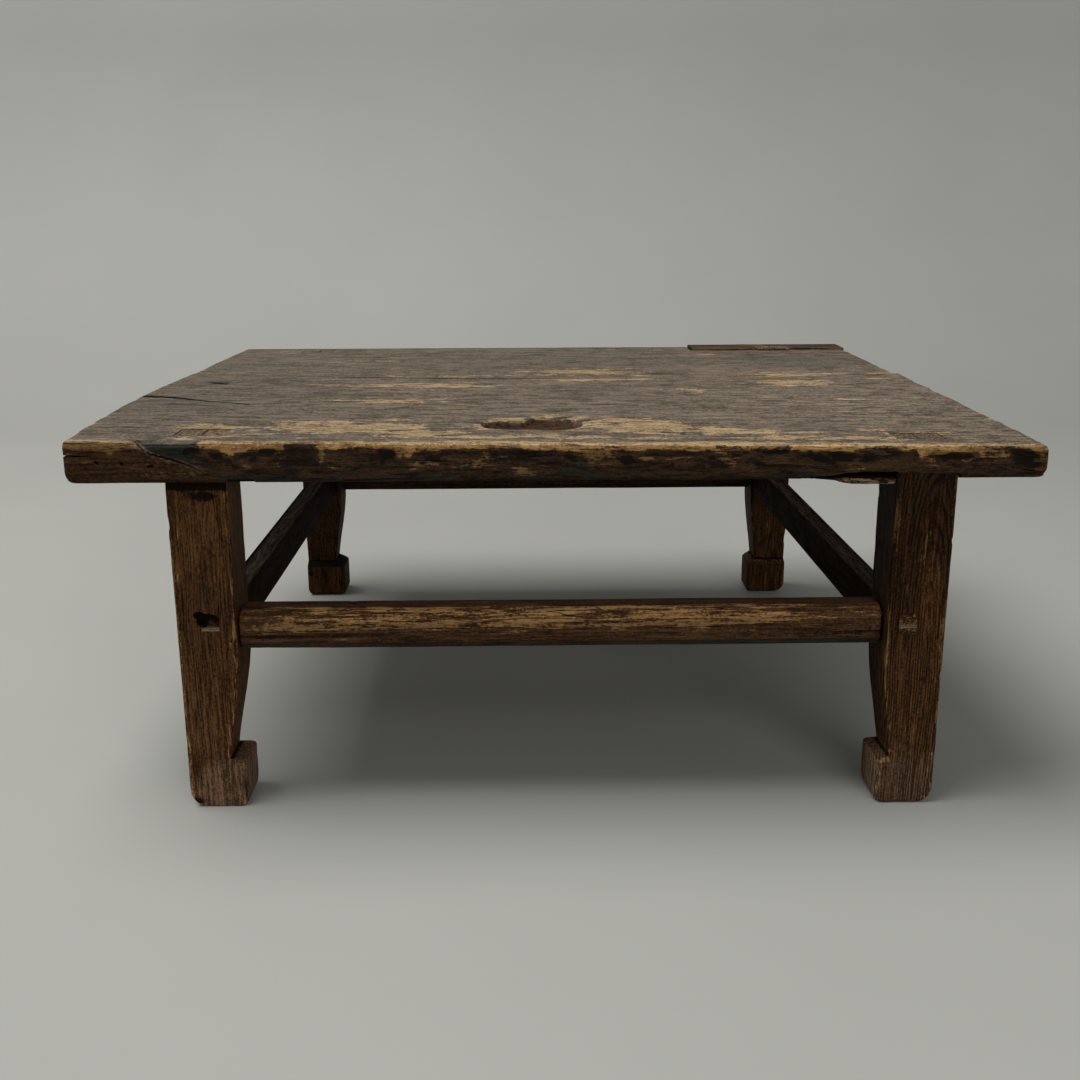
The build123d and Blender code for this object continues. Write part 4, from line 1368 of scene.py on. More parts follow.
# ---------------------------------------------------------------- legs
# Radii under each hoof's toe, then under its heel, each along X and along Y.
FEET = {
    ("front", "left"): ((8, 18), (18, 2)),
    ("front", "right"): ((9, 17), (17, 4)),
    ("back", "left"): ((8, 7), (10, 5)),
    ("back", "right"): ((6, 7), (17, 6)),
}
HOOF_ARRIS = {(1, 1): 6.5, (1, 0): 6.0, (0, 1): 4.2}  # radii of a hoof's upright corners
LEDGE_STEP = 0.08  # height over which the ledge steps back to the ankle
RIM = 2.4  # radius of the worn rim of the ledge
LEAN_FOOT = 146.0  # height below which the grain of a leaning leg runs straight
STRIP_PROUD = 3.0  # how far the tenon in the repair strip stands above the top
SLOT_GAP = 0.35


def hoof_side(z, waist, toe, heel):
    """Outer and inner offset of one side of a leg at a height.

    Toe and heel are quarter circles, the hoof straight up to its rim, the ledge a step
    back to the ankle, and the waist a cubic Hermite curve from there to the full width.
    """
    ledge = chosen("legs").hoof_height
    outer = heel - np.sqrt(heel**2 - np.clip(heel - z, 0, heel) ** 2)
    under = LEG_SIZE - toe + np.sqrt(toe**2 - np.clip(toe - z, 0, toe) ** 2)
    rim = RIM * (1 - np.sqrt(1 - np.clip((z - ledge + 3) / 3, 0, 1) ** 2)) * (z <= ledge)
    step = np.clip((z - ledge) / LEDGE_STEP, 0, 1)
    rise = BAR_BOTTOM - ledge
    t = np.clip((z - ledge - LEDGE_STEP) / rise, 0, 1)
    start = (2 * t**3 - 3 * t**2 + 1) * (LEG_SIZE - waist)
    stop = (3 * t**2 - 2 * t**3) * LEG_SIZE
    slope = (t**3 - 2 * t**2 + t) * 0.12 * rise
    tread = LEG_SIZE - RIM + (RIM - waist) * step
    return outer, np.where(step >= 1, start + stop + slope, np.where(z > ledge, tread, under - rim))


def hoof_sides(z, waist, end, side):
    """Outer and inner offsets of a leg at a height, along X and then along Y."""
    return [hoof_side(z, waist, toe, heel) for toe, heel in zip(*FEET[end, side])]


def side_slot(box, side):
    """X range of a side stretcher's tenon within a leg."""
    low, high = box
    return (low[0] + 23, low[0] + 39) if side == "left" else (high[0] - 43, high[0] - 27)


def leg_shaft(end, side, waist, seed):
    """Worn shaft and hoof of a leg, from its outer corner at the floor: points and quads.

    A block lattice whose corners are rounded is drawn in to the two side outlines, the
    ledge falls towards its rim, and noise is taken off along the normals.
    """
    leg = chosen("legs")
    ledge = leg.hoof_height
    across = spread(0, LEG_SIZE, 2.1, ((0, 5, 0.8), (LEG_SIZE, 5, 0.8)))
    zs = spread(0, LEG_SHOULDER, 2.3, ((0, 14, 1.1), (ledge, 5, 1.1), (LEG_SHOULDER, 3, 1.2)))
    zs = zs[np.abs(zs - ledge) > 0.9]
    steps = ledge + LEDGE_STEP * np.linspace(0, 1, 6)
    zs = np.sort(np.concatenate([zs, [ledge - 0.7, ledge - 0.25], steps]))
    points, quads, places = block_skin(across, across, zs)
    z = points[:, 2]
    shaggy = 1 + 0.5 * wander(z, 26, seed) + 0.25 * wander(z, 7, seed + 1)
    for i, j in CORNERS:
        radius = leg.arris * (shaggy * (1 + 0.3 * wander(z + 400 * i + 900 * j, 19, seed + 2)))
        if (i, j) in HOOF_ARRIS:
            radius = np.where(z <= ledge, HOOF_ARRIS[i, j], radius)
        place, sign = (i * LEG_SIZE, j * LEG_SIZE), (2 * i - 1, 2 * j - 1)
        points = ease_arris(points, (0, 1), place, sign, radius)
    u, v, z = points.T
    step = np.clip((z - ledge) / LEDGE_STEP, 0, 1)
    drop = np.where(z <= ledge, leg.ledge_fall * z / ledge, leg.ledge_fall * (1 - step))
    x, y = (
        outer + at / LEG_SIZE * (inner - outer)
        for at, (outer, inner) in zip((u, v), hoof_sides(z, waist, end, side))
    )
    points = np.column_stack([x, y, z - drop])
    normals = vertex_normals(points, quads)
    height = points[:, 2]
    ridges = rough_share(points, (4.2, 4.2, 110), seed + 3, 2)
    waves = rough_share(points, (40, 40, 70), seed + 4)
    chips = smooth(rough(points, (9, 9, 16), seed + 5, 2), 0.4, 0.8)
    near_u, near_v = (np.minimum(at, LEG_SIZE - at) for at in (u, v))
    corner_near = np.exp(-((near_u / 7) ** 2) - ((near_v / 7) ** 2))
    hidden = smooth(height, UNDERSIDE - 2, UNDERSIDE + 2)
    furrowed = 0.35 + 0.65 * (1 - smooth(height, 150, 260))
    wear = leg.relief * (0.7 * ridges * furrowed + 0.5 * waves + 1.3 * chips * (0.25 + corner_near))
    level = np.abs(normals[:, 2]) > 0.7
    wear = np.where(level, 0.25 * wear, wear) * (1 - 0.7 * hidden)
    points -= normals * wear[:, None] * np.array([1, 1, 0.6])
    points[:, 2] = np.where(places[2] == 0, 0, np.clip(points[:, 2], 0, LEG_SHOULDER))
    return points, quads


def leg_tenon(end, side, seed):
    """Tenon that flares through the plank, its end following the crowned top."""
    middle, y0 = tenon_place(end, side)
    proud = (end, side) == ("back", "right")
    half = TENON_WIDE / 2
    xs, ys = spread(middle - half, middle + half, 2.0), spread(y0, y0 + TENON_DEEP, 2.0)
    points, quads, _ = block_skin(xs, ys, spread(0, 1, 0.125))
    x, y, t = points.T
    end_wear = 0.25 + 0.35 * rough_share(flat(x, y), (9, 7, 9), seed + 7)
    head = crowned_top(x, y) + STRIP_PROUD * proud - top_wear(x, y) * (not proud) - end_wear
    foot = LEG_SHOULDER - 1.0
    points[:, 2] = foot + (head - foot) * t
    flare = 1 + 3 / TENON_WIDE * (points[:, 2] - LEG_SHOULDER) / 42
    points[:, 0] = middle + (x - middle) * flare
    return make_piece("tenon", points, quads)


LEG_WORMS = ((-311.5, 156.6), (-298.5, 156.5), (-294.5, 164.4))
LEG_SPLITS = ((187.6, 314), (186.2, 318), (170.2, 316))  # height and right end


def slot_mouth_tool(low, slot, mouth):
    """Opening over the wedge in the front left leg, whose sill hides the tenon's foot."""
    span = (slot[0] + 3.4, slot[1] + SLOT_GAP)
    points, faces, _ = block_skin(span, (low[1] - 3, mouth + 1), (0, 1))
    foot, roof = SIDE_TENON
    sill = np.interp(points[:, 1], (low[1], mouth + 1), (foot + 8.2, foot + 5.6))
    points[:, 2] = np.where(points[:, 2] > 0.5, roof - 1.0, sill)
    return make_piece("slot_mouth", points, faces)


def leg_chip_tools(low, seed):
    """Worm holes and two chips in the front left leg: balls with noise on their radius."""
    tools = worm_tools(LEG_WORMS, low[1], 1.0, 12)
    side = spread(-1, 1, 0.16)
    ball, faces, _ = block_skin(side, side, side)
    ball /= np.maximum(np.linalg.norm(ball, axis=1, keepdims=True), 1e-6)
    ball *= 1 + 0.42 * rough(ball, (0.6, 0.6, 0.6), seed + 9, 3)[:, None]
    for size, right, height in (((10.5, 8, 7.0), 29, 183.5), ((5.5, 5, 4.0), 21.5, 189)):
        place = (low[0] + right, low[1] - 0.5, height)
        tools.append(make_piece("chip", ball * size + place, faces))
    return tools


def leg_split_tools(low):
    """Short level splits in the front right leg about the tenon's end."""
    t = np.linspace(0, 1, 20)
    taper = 0.35 + 1.5 * np.sin(np.pi * np.clip(t, 0.03, 0.97))
    tools = []
    for height, stop in LEG_SPLITS:
        line = np.column_stack([stop + 13 * t, height + 1.2 * wander(t * 40, 7, int(height))])
        tools.append(ribbon_tool("split", line, taper, low[1] + 5, low[1] - 3, 0.2, FACE_ON))
    return tools


def leg_tools(end, side, seed):
    """Tools for a leg's stretcher mortises, the slot of its wedge and its own damage."""
    low, high = LEG_BOXES[end, side]
    slot = side_slot((low, high), side)
    gap = SLOT_GAP
    mouth, tail = low[1] - 3, high[1] + 3
    tools = []
    if (end, side) == ("front", "left"):
        # Here the tenon ends inside the leg.
        mouth = BAR_BOXES["left"][0][1] + 0.2
        tools.append(slot_mouth_tool(low, slot, mouth))
    foot = (slot[0] - gap, mouth, SIDE_TENON[0] - gap)
    tools.append(tapered_box("slot", foot, (slot[1] + gap, tail, SIDE_TENON[1] + gap)))
    bar_low, bar_high = BAR_BOXES[end]
    tongue_y = (bar_low[1] + bar_high[1]) / 2
    foot = (low[0] - 3, tongue_y - 8 - gap, TONGUE[0] - gap)
    tools.append(tapered_box("slot", foot, (high[0] + 3, tongue_y + 8 + gap, TONGUE[1] + gap)))
    middle, y0 = tenon_place(end, side)
    top_z = float(crowned_top(middle, y0 + TENON_DEEP / 2))
    top_z += STRIP_PROUD * ((end, side) == ("back", "right"))
    foot, head = (middle - 0.9, y0 - 0.2, top_z - 24), (middle + 0.9, y0 + 28.2, top_z + 4)
    tools.append(tapered_box("wedge_slot", foot, head, grow=(3.6, 0)))
    if (end, side) == ("front", "left"):
        tools += leg_chip_tools(low, seed)
    if (end, side) == ("front", "right"):
        tools += leg_split_tools(low)
    return tools


def leg_marks(piece, end, side, waist, origin, turn, seed):
    """Wear marks of a leg: rubbed arrises, painted shade under the top, in the ledge's crease and
    under the foot, and its own patches, each a bell or a smooth step of the place on its faces."""
    ledge = chosen("legs").hoof_height
    points, normals = read_points(piece)
    x, y, z = points.T
    u, v = (x - origin[0]) * turn[0], (y - origin[1]) * turn[1]
    edge_u, edge_v = (
        np.minimum(at - outer, inner - at)
        for at, (outer, inner) in zip((u, v), hoof_sides(z, waist, end, side))
    )
    far_u = u > LEG_SIZE / 2 - 0.5
    far_v = v > LEG_SIZE / 2 - 0.5
    arris = bell(np.hypot(edge_u, edge_v), 4.5 + 2.5 * wander(z, 22, seed + 11))
    arris = arris * (0.52 + 0.62 * wander(z + 300 * far_u + 700 * far_v, 46, seed + 12))
    on_top = (z > UNDERSIDE + 30) & (normals[:, 2] > 0.5)
    ledge_top = smooth(normals[:, 2], 0.4, 0.8) * (np.abs(z - ledge + 2) < 5)
    # Painted shadow of the top: a band at the head of the leg, just under the slab.
    shade = smooth(z + 1.3 * wander(x, 9, seed + 15), UNDERSIDE - 9.5, UNDERSIDE - 7.5)
    outside = smooth(-normals[:, 1] * turn[1], 0.4, 0.8)
    outer_side = smooth(-normals[:, 0] * turn[0], 0.4, 0.8)
    inner_x, inner_y = (smooth(normals[:, n] * turn[n], 0.4, 0.8) for n in (0, 1))
    inside = 1 - np.maximum(outside, outer_side)
    foot = 1 - smooth(z, 4, 16)
    hoof = 1 - smooth(z, 38, 60)
    low_share = 1 - smooth(z, 70, 200)
    crease = bell(z - ledge, 1.3) * (1 - outside) * (1 - outer_side)
    worn = np.maximum(arris * (1 - 0.5 * inside), (0.12 if end == "front" else 0.42) * ledge_top)
    slate = 0.14 + 0.24 * rough(points, (26, 26, 60), seed + 13)
    slate = slate + 0.12 * smooth(z, 190, 310) + 0.12 * inside
    # Painted shade on the faces under the foot and in the crease at the ledge; the noise patches
    # are grime.
    dark = strongest(
        0.5 * foot * smooth(-normals[:, 2], 0.2, 0.8),
        0.44 * smooth(rough(points, (20, 20, 50), seed + 17), 0.2, 0.6),
        0.95 * crease,
    )
    bare = 0.30 + 0.5 * rough(points, (30, 30, 90), seed + 14)
    paler, deeper, greyed = (np.zeros_like(x) for _ in range(3))
    if end == "front":
        greyed = hoof * (0.22 + 0.2 * inner_x)
    if (end, side) == ("front", "left"):
        # The top's painted shadow, deep on the outer face; the thin line under it is left a little
        # lighter.
        deeper = 0.75 * shade * outside
        ragged = 2.4 * wander(x, 6, 216) + 1.6 * wander(x, 3, 217)
        stain = patch(x, z + ragged, (-312, 300), (15, 7)) * outside
        heel = patch(u, z, (9, 6), (6, 4)) * outside
        line = bell(z - 304.6, 0.9) * outside * smooth(wander(x, 13, 218), -0.3, 0.4)
        knot = patch(x, z, (-330, 46), (11, 9)) * outside
        knot = knot + patch(x, z, (-336, 37), (5, 12)) * outside
        paler = np.maximum(0.42 * low_share, hoof * (0.86 + 0.14 * inner_x))
        paler = paler * (1 - np.minimum(knot, 1))
        # The painted shadow of the top is near black here, beside the real stain, heel and knot.
        dark = strongest(dark, 1.05 * shade * outside, 0.84 * stain, 0.9 * heel, 0.34 * knot)
        dark = dark * (1 - 0.8 * line)
        rubbed = 0.55 * patch(x, z, (-338, 262), (6, 9)) * outside
        worn = np.maximum(worn * (1 - stain) * (1 - shade), rubbed)
        slate = strongest(
            slate,
            0.46 * patch(x, z, (-322, 286), (19, 10)) * outside,
            0.48 * patch(x, z, (-316, 212), (10, 22)) * outside,
        )
        shaft_bare = bare + 0.2 * smooth(z, 150, 280)
        bare = np.where(z > ledge, shaft_bare, np.maximum(bare, 0.9 * knot))
    if (end, side) == ("front", "right"):
        brown = patch(x, z, (338, 205), (12, 50))
        # Painted shade and light: the shaft darker from mid height up and on its inner face, and
        # the hoof's inner face paler, for how light falls on this leg.
        deeper = 0.44 * smooth(z, 120, 210) * (1 - 0.7 * brown * outside)
        deeper = deeper + 0.15 * inner_x * (1 - hoof) + 0.10 * smooth(z, 215, 260)
        paler = 0.1 * low_share + hoof * (0.2 + 0.7 * inner_x)
        inner_arris = patch(edge_u, z, (0, 170), (4, 140)) * far_u * outside
        worn = strongest(
            worn,
            0.62 * patch(x, z, (332, 246), (4, 18)) * outside,
            0.8 * patch(x, z, (307, 45), (7, 4)) * outside,
            0.78 * inner_arris,
        )
        toe_line = patch(edge_u, z, (1, 28), (2, 11)) * far_u * (v < 2.5)
        # A faint painted shadow of the top on this leg as well.
        dark = strongest(dark, 0.2 * shade, 0.85 * toe_line)
        bare = np.maximum(bare, 0.95 * brown * outside)
        clean = 1 - patch(x, z, (334, 240), (14, 40))
        slate = np.maximum(slate, 0.5 * outside * smooth(z, 215, 300) * clean)
    if (end, side) == ("back", "left"):
        # Painted shade on the back left leg's ledge top, drawn dark in place of its rub.
        worn = worn * (1 - ledge_top)
        spot = patch(x, z, (-338, 33), (4, 4)) * inner_y
        dark = strongest(dark, 0.9 * ledge_top, 0.9 * spot)
    # Painted shade under the table: the back legs deepened, and darker towards the top.
    if end == "back":
        deeper = np.full_like(x, 0.30 if side == "left" else 0.05)
        dark = np.maximum(dark, 0.5 * smooth(z, 150, 300))
    worn = np.where(on_top, 0.42, worn)
    return {
        "upper": np.where(on_top, 0.9, greyed),
        "paler": np.where(on_top, 0, paler),
        "deeper": np.where(on_top, 0, deeper),
        "worn": worn,
        "slate": np.where(on_top, 0.3, slate * (1 - worn)),
        "dark": np.where(on_top, 0.15, dark),
        "bare": np.where(on_top, 0, bare),
    }


def build_leg(end, side):
    """Hoof leg: a worn shaft waisted on both inner sides, its tenon and its mortises."""
    leg = chosen("legs")
    name = f"leg_{end}_{side}"
    low, high = LEG_BOXES[end, side]
    waist = leg.waist_left if side == "left" else leg.waist_right
    seed = 200 + 20 * (side == "right") + 40 * (end == "back")
    turn = (1 if side == "left" else -1, 1 if end == "front" else -1)
    origin = (low[0] if side == "left" else high[0], low[1] if end == "front" else high[1])
    points, quads = leg_shaft(end, side, waist, seed)
    points[:, :2] = np.array(origin) + np.array(turn) * points[:, :2]
    piece = make_piece(name + "_worn", points, quads)
    carve(piece, [leg_tenon(end, side, seed)], "UNION")
    carve(piece, leg_tools(end, side, seed))
    marks = leg_marks(piece, end, side, waist, origin, turn, seed)
    pith = (origin[0] + turn[0] * 95, origin[1] + turn[1] * (-35 if side == "left" else 150))
    lean = 0.0
    if (end, side) == ("front", "right"):
        pith, lean = (338, -373.0), 0.104
    wood = aged_wood(
        name.replace("leg", "leg_wood"), "Z", "frame", seed // 10, 2.4, pith, polish_and_light=True,
        grade=0.5, lean=lean, sheen=0.025,
    )
    finish_piece(piece, marks, wood, "frame_wood", name)


# ---------------------------------------------------------------- stretchers
def worn_bar(place, points, quads, axis, start, stop, seed, share=1.0):
    """Stretcher piece, worn along its normals and set in from its outer face.

    The wear is long flats, furrows and chips of noise, and less at the two shoulders.
    """
    long_size, fine_size = np.full(3, 16.0), np.full(3, 5.0)
    long_size[axis], fine_size[axis] = 130.0, 60.0
    flats = rough_share(points, long_size, seed)
    furrows = rough_share(points, fine_size, seed + 3, 2)
    chips = smooth(rough(points, (11, 11, 8), seed + 6, 2), 0.45, 0.85)
    along = points[:, axis]
    inside = smooth(along, start, start + 4) * (1 - smooth(along, stop - 4, stop))
    depth = (0.8 * flats + 0.3 * furrows + 0.7 * chips) * (0.3 + 0.7 * inside) * share
    points -= vertex_normals(points, quads) * depth[:, None]
    points[:, axis] = np.clip(points[:, axis], start, stop)
    low, high = BAR_BOXES[place]
    cross = 1 - axis
    if place in ("front", "left"):
        points[:, cross] += low[cross]
    else:
        points[:, cross] = high[cross] - points[:, cross]
    return make_piece(f"stretcher_{place}_worn", points, quads)


def wedge_spans(first, last):
    """Ranges along a stretcher that its two wedge slots take up."""
    return (first - 2, first + WEDGE_DEEP), (last - WEDGE_DEEP, last + 2)


def build_long_stretcher(end):
    """Front or back stretcher: rounded on its outer upper side, bevelled below."""
    low, high = BAR_BOXES[end]
    seed = 300 if end == "front" else 330
    x0 = LEG_BOXES[end, "left"][1][0] + BAR_GAP
    x1 = LEG_BOXES[end, "right"][0][0] - BAR_GAP
    z0, z1 = BAR_BOTTOM, BAR_TOP
    thick = high[1] - low[1]
    xs = spread(x0, x1, 2.6, ((x0, 6, 0.8), (x1, 6, 0.8)))
    points, quads, _ = block_skin(xs, spread(0, thick, 1.3), spread(z0, z1, 1.3))
    for x, turn in ((x0, -1), (x1, 1)):
        points = ease_arris(points, (0, 2), (x, z1), (turn, 1), 2.6)
        points = ease_arris(points, (0, 1), (x, 0), (turn, -1), 2.4)
    round_over = 13.5 + 1.5 * wander(points[:, 0], 120, seed + 20)
    points = ease_arris(points, (1, 2), (0, z1), (-1, 1), round_over)
    bevel = 8 + 1.2 * wander(points[:, 0], 80, seed + 21)
    points = ease_arris(points, (1, 2), (0, z0), (-1, -1), bevel, cut=True)
    points = ease_arris(points, (1, 2), (thick, z1), (1, 1), 5)
    points = ease_arris(points, (1, 2), (thick, z0), (1, -1), 2.5)
    piece = worn_bar(end, points, quads, 0, x0, x1, seed)

    middle = (low[1] + high[1]) / 2
    foot, head = (low[0] + 0.7, middle - 8, TONGUE[0]), (high[0] - 0.7, middle + 8, TONGUE[1])
    tongue = tapered_box("tongue", foot, head)
    foot = (x0 - 8, middle - 8.01, TONGUE[0] - 0.1)
    stub = tapered_box("stub", foot, (x1 + 8, middle + 8.01, SIDE_TENON[1]))
    carve(piece, [tongue, stub], "UNION")
    tools = []
    if end == "front":
        tools = worm_tools(((289, 171), (281, 167.5), (284, 178), (276, 166)), low[1], 0.8, 14)
    for start, stop in wedge_spans(low[0], high[0]):
        foot, head = (start, middle - 8.2, 161.3), (stop, middle + 8.2, 164.3)
        tools.append(tapered_box("wedge_slot", foot, head))
    carve(piece, tools)

    points, normals = read_points(piece)
    x, _, z = points.T
    out = -normals[:, 1] if end == "front" else normals[:, 1]
    rise = (z - z0) / (z1 - z0)
    outer = smooth(out, -0.1, 0.35)
    reach = smooth(x, x0 + 2, x0 + 40) * (1 - smooth(x, x1 - 120, x1 - 40))
    streaky = rough_share(points, (120, 20, 6), seed + 10)
    patchy = rough_share(points, (60, 20, 12), seed + 11)
    # The rubbed band along the round-over is partly a painted highlight.
    ridge = bell(rise - 0.62 + 0.03 * wander(x, 90, seed + 12), 0.13) * outer
    crest = bell(rise - 0.92, 0.09) * outer
    # Painted shade: the tongue and stub inside the legs, seen through the joint gaps, are drawn
    # dark.
    hidden = (x < x0 - 0.2) | (x > x1 + 0.2)
    worn = strongest(
        (0.46 + 0.30 * streaky) * ridge * (0.35 + 0.65 * reach),
        (0.40 + 0.26 * patchy) * smooth(rise, 0.5, 0.75) * outer * (0.4 + 0.6 * reach),
        0.5 * crest * patchy,
        0.24 * smooth(rise, 0.28, 0.4) * (1 - smooth(rise, 0.5, 0.6)) * outer * streaky,
    )
    slate = 0.56 * (1 - smooth(rise, 0.15, 0.24)) + 0.18 * patchy + 0.36 * (1 - reach) * patchy
    middle_line = bell(rise - 0.36 + 0.05 * wander(x, 50, seed + 14), 0.08) * outer
    smuts = smooth(rough(points, (50, 9, 7), seed + 15), 0.15, 0.5)
    marks = {
        # Painted light on the upper outer face.
        "paler": 0.30 * smooth(rise, 0.55, 0.8) * outer,
        "worn": np.where(hidden, 0, worn),
        "slate": np.where(hidden, 0, slate * (1 - 0.9 * worn)),
        "dark": strongest(
            0.62 * middle_line * smooth(streaky, 0.35, 0.65),
            0.42 * smuts * (1 - 0.6 * ridge),
            # Painted shade on the inward face.
            smooth(-out, 0.5, 0.9) * 0.36,
            0.9 * hidden,
        ),
        "bare": 0.4 * patchy,
    }
    wood = aged_wood(
        "stretcher_wood_" + end, "X", "frame", seed // 9, 4.0, (middle + 30, 120),
        grade=0.6, mottle=0.7,
    )
    finish_piece(piece, marks, wood, "frame_wood", "stretcher_" + end)


def build_side_stretcher(side):
    """Side stretcher: outer upper arris worn to a slope, tenons through both legs."""
    low, high = BAR_BOXES[side]
    leg = LEG_BOXES["front", side]
    seed = 360 if side == "left" else 390
    y0, y1 = leg[1][1] + BAR_GAP, LEG_BOXES["back", side][0][1] - BAR_GAP
    z0, z1 = BAR_BOTTOM, BAR_TOP
    thick = high[0] - low[0]
    ys = spread(y0, y1, 2.8, ((y0, 5, 0.9), (y1, 5, 0.9)))
    points, quads, _ = block_skin(spread(0, thick, 1.3), ys, spread(z0, z1, 1.3))
    slope = (9 if side == "left" else 13) * (1 + 0.12 * wander(points[:, 1], 90, seed + 20))
    points = ease_arris(points, (0, 2), (0, z1), (-1, 1), slope, cut=True)
    points = ease_arris(points, (0, 2), (thick, z1), (1, 1), 2.6)
    points = ease_arris(points, (0, 2), (0, z0), (-1, -1), 2.6)
    points = ease_arris(points, (0, 2), (thick, z0), (1, -1), 1.6)
    piece = worn_bar(side, points, quads, 1, y0, y1, seed, 0.8)

    slot, (foot, head) = side_slot(leg, side), SIDE_TENON
    ends = (slot[0], low[1] + 0.6, foot), (slot[1], high[1] - 0.6, head)
    carve(piece, [tapered_box("tenon", *ends)], "UNION")
    wedge_z = foot + 0.4 * 19
    tools = []
    for start, stop in wedge_spans(leg[0][1], high[1]):
        ends = (slot[0] - 0.2, start, wedge_z - 1.7), (slot[1] + 0.2, stop, wedge_z + 1.7)
        tools.append(tapered_box("wedge_slot", *ends))
    carve(piece, tools)

    points, normals = read_points(piece)
    _, y, z = points.T
    out = -normals[:, 0] if side == "left" else normals[:, 0]
    patchy = rough_share(points, (20, 60, 12), seed + 11)
    streaky = rough_share(points, (5, 110, 5), seed + 12)
    slope_face = smooth(out, 0.3, 0.6) * smooth(normals[:, 2], 0.3, 0.6)
    top_face = smooth(normals[:, 2], 0.85, 0.97)
    tip = (y < y0 - 1) | (y > y1 + 1)
    worn = np.maximum(0.40 * slope_face * patchy, 0.42 * top_face * streaky)
    # Painted shade on the inner face.
    dark = np.maximum(0.40 * smooth(-out, 0.4, 0.8) * (0.55 + 0.45 * patchy), 0.12)
    # Painted shade: the tenon's head in the slot above the wedge is drawn black.
    in_slot = (y < y0 - 1) & (z > 177.5) & (side == "left")
    # Painted light and shade: the top face takes the top's pale tones and is lifted, and the faces
    # that don't look up are deepened.
    marks = {
        "upper": top_face,
        "paler": 0.30 * top_face,
        "deeper": np.where(tip, 0, 0.70 * (1 - smooth(normals[:, 2], 0.25, 0.7))),
        "worn": np.where(tip, 0.3, worn),
        "slate": np.where(tip, 0.2, 0.10 + 0.3 * top_face * patchy + 0.12 * patchy),
        "dark": np.where(in_slot, 1.0, dark),
        "bare": 0.35 * patchy,
    }
    # The top's tones go on the top face here as painted light.
    wood = aged_wood(
        "stretcher_wood_" + side, "Y", "frame", seed // 9, 4.0, (140, low[0] + 40),
        polish_and_light=True, grade=0.6, sheen=0.005,
    )
    finish_piece(piece, marks, wood, "frame_wood", "stretcher_" + side)


# ---------------------------------------------------------------- stage
def backdrop_sheet():
    """Plain floor that turns up into a wall behind: a line, a quarter circle and a line.

    The profile runs along Y at the floor, round a circle of radius R whose middle is R
    above the floor, then straight up; it is carried along X. Lengths are in metres.
    """
    reach, start, bend, top = 9.0, 1.7, 1.1, 5.0
    turn = np.linspace(0, np.pi / 2, 25)
    y = np.concatenate([[-reach, 0.0], start + bend * np.sin(turn), [start + bend]])
    z = np.concatenate([[0.0, 0.0], bend * (1 - np.cos(turn)), [top]])
    points = np.concatenate([np.column_stack([np.full_like(y, x), y, z]) for x in (-reach, reach)])
    n = np.arange(len(y) - 1)
    faces = np.column_stack([n, n + len(y), n + len(y) + 1, n + 1])
    return points.tolist(), faces.tolist()


def lay_floor(stage):
    """Floor and wall, a little cloudy; the wall fades to the plain colour with distance."""
    points, faces = backdrop_sheet()
    mesh = bpy.data.meshes.new("floor")
    mesh.from_pydata(points, [], faces)
    mesh.polygons.foreach_set("use_smooth", np.ones(len(faces), bool))
    floor = add_object("floor", mesh)
    bench = Bench("floor_plain")
    cloud = bench.streaks((bench.x, bench.y, bench.z), (420, 420, 420), 2, 3)
    shade = (cloud - 0.5) * 0.10 + 1.0
    rays = bench.node("ShaderNodeLightPath").outputs
    returned = (stage.bounce,) * 3
    colour = bench.shade(bench.mix(rays["Is Diffuse Ray"], stage.floor, returned), shade)
    far = ((bench.x * bench.x + bench.y * bench.y) ** 0.5).step(2400, 7500)
    glow = bench.shade(bench.mix(rays["Is Camera Ray"], (0, 0, 0), stage.floor), far)
    bench.feed(
        Base_Color=colour, Roughness=0.62, Emission_Color=glow, Emission_Strength=0.75,
        Specular_IOR_Level=0.25,
    )
    mesh.materials.append(bench.material)


def light_room(stage):
    """Even light from all round, the floor's colour where it is seen, and two lamps."""
    world = bpy.data.worlds.new("room")
    world.use_nodes = True
    tree = world.node_tree
    tree.nodes.clear()
    rays = add_node(tree, "ShaderNodeLightPath").outputs
    greatest = {"operation": "MAXIMUM"}
    mirrored = {0: rays["Is Glossy Ray"], 1: rays["Is Transmission Ray"]}
    glassy = add_node(tree, "ShaderNodeMath", greatest, mirrored).outputs[0]
    seen = add_node(tree, "ShaderNodeMath", greatest, {0: rays["Is Camera Ray"], 1: glassy})
    room, wall = (
        add_node(tree, "ShaderNodeBackground", {}, {"Color": colour, "Strength": strength})
        for colour, strength in (((0.98, 1.0, 1.0), stage.room_light), (stage.floor, 0.9))
    )
    shaders = {0: seen.outputs[0], 1: room.outputs[0], 2: wall.outputs[0]}
    blend = add_node(tree, "ShaderNodeMixShader", {}, shaders)
    add_node(tree, "ShaderNodeOutputWorld", {}, {"Surface": blend.outputs[0]})
    bpy.context.scene.world = world

    lamps = (
        ("key", (-1.6, -0.1, 4.4), (0.0, 0.0, 0.3), 3.6, stage.key_light),
        ("fill", (1.2, -4.0, 1.8), (0.0, 0.0, 0.2), 2.6, stage.key_light * 0.21),
    )
    for name, place, aim, size, power in lamps:
        light = bpy.data.lights.new(name, "AREA")
        light.shape = "DISK"
        light.size = size
        light.energy = power
        lamp = add_object(name, light)
        lamp.location = place
        down = np.array(aim) - np.array(place)
        lamp.rotation_euler = Matrix(look_axes(down / np.linalg.norm(down), 0)).to_euler()


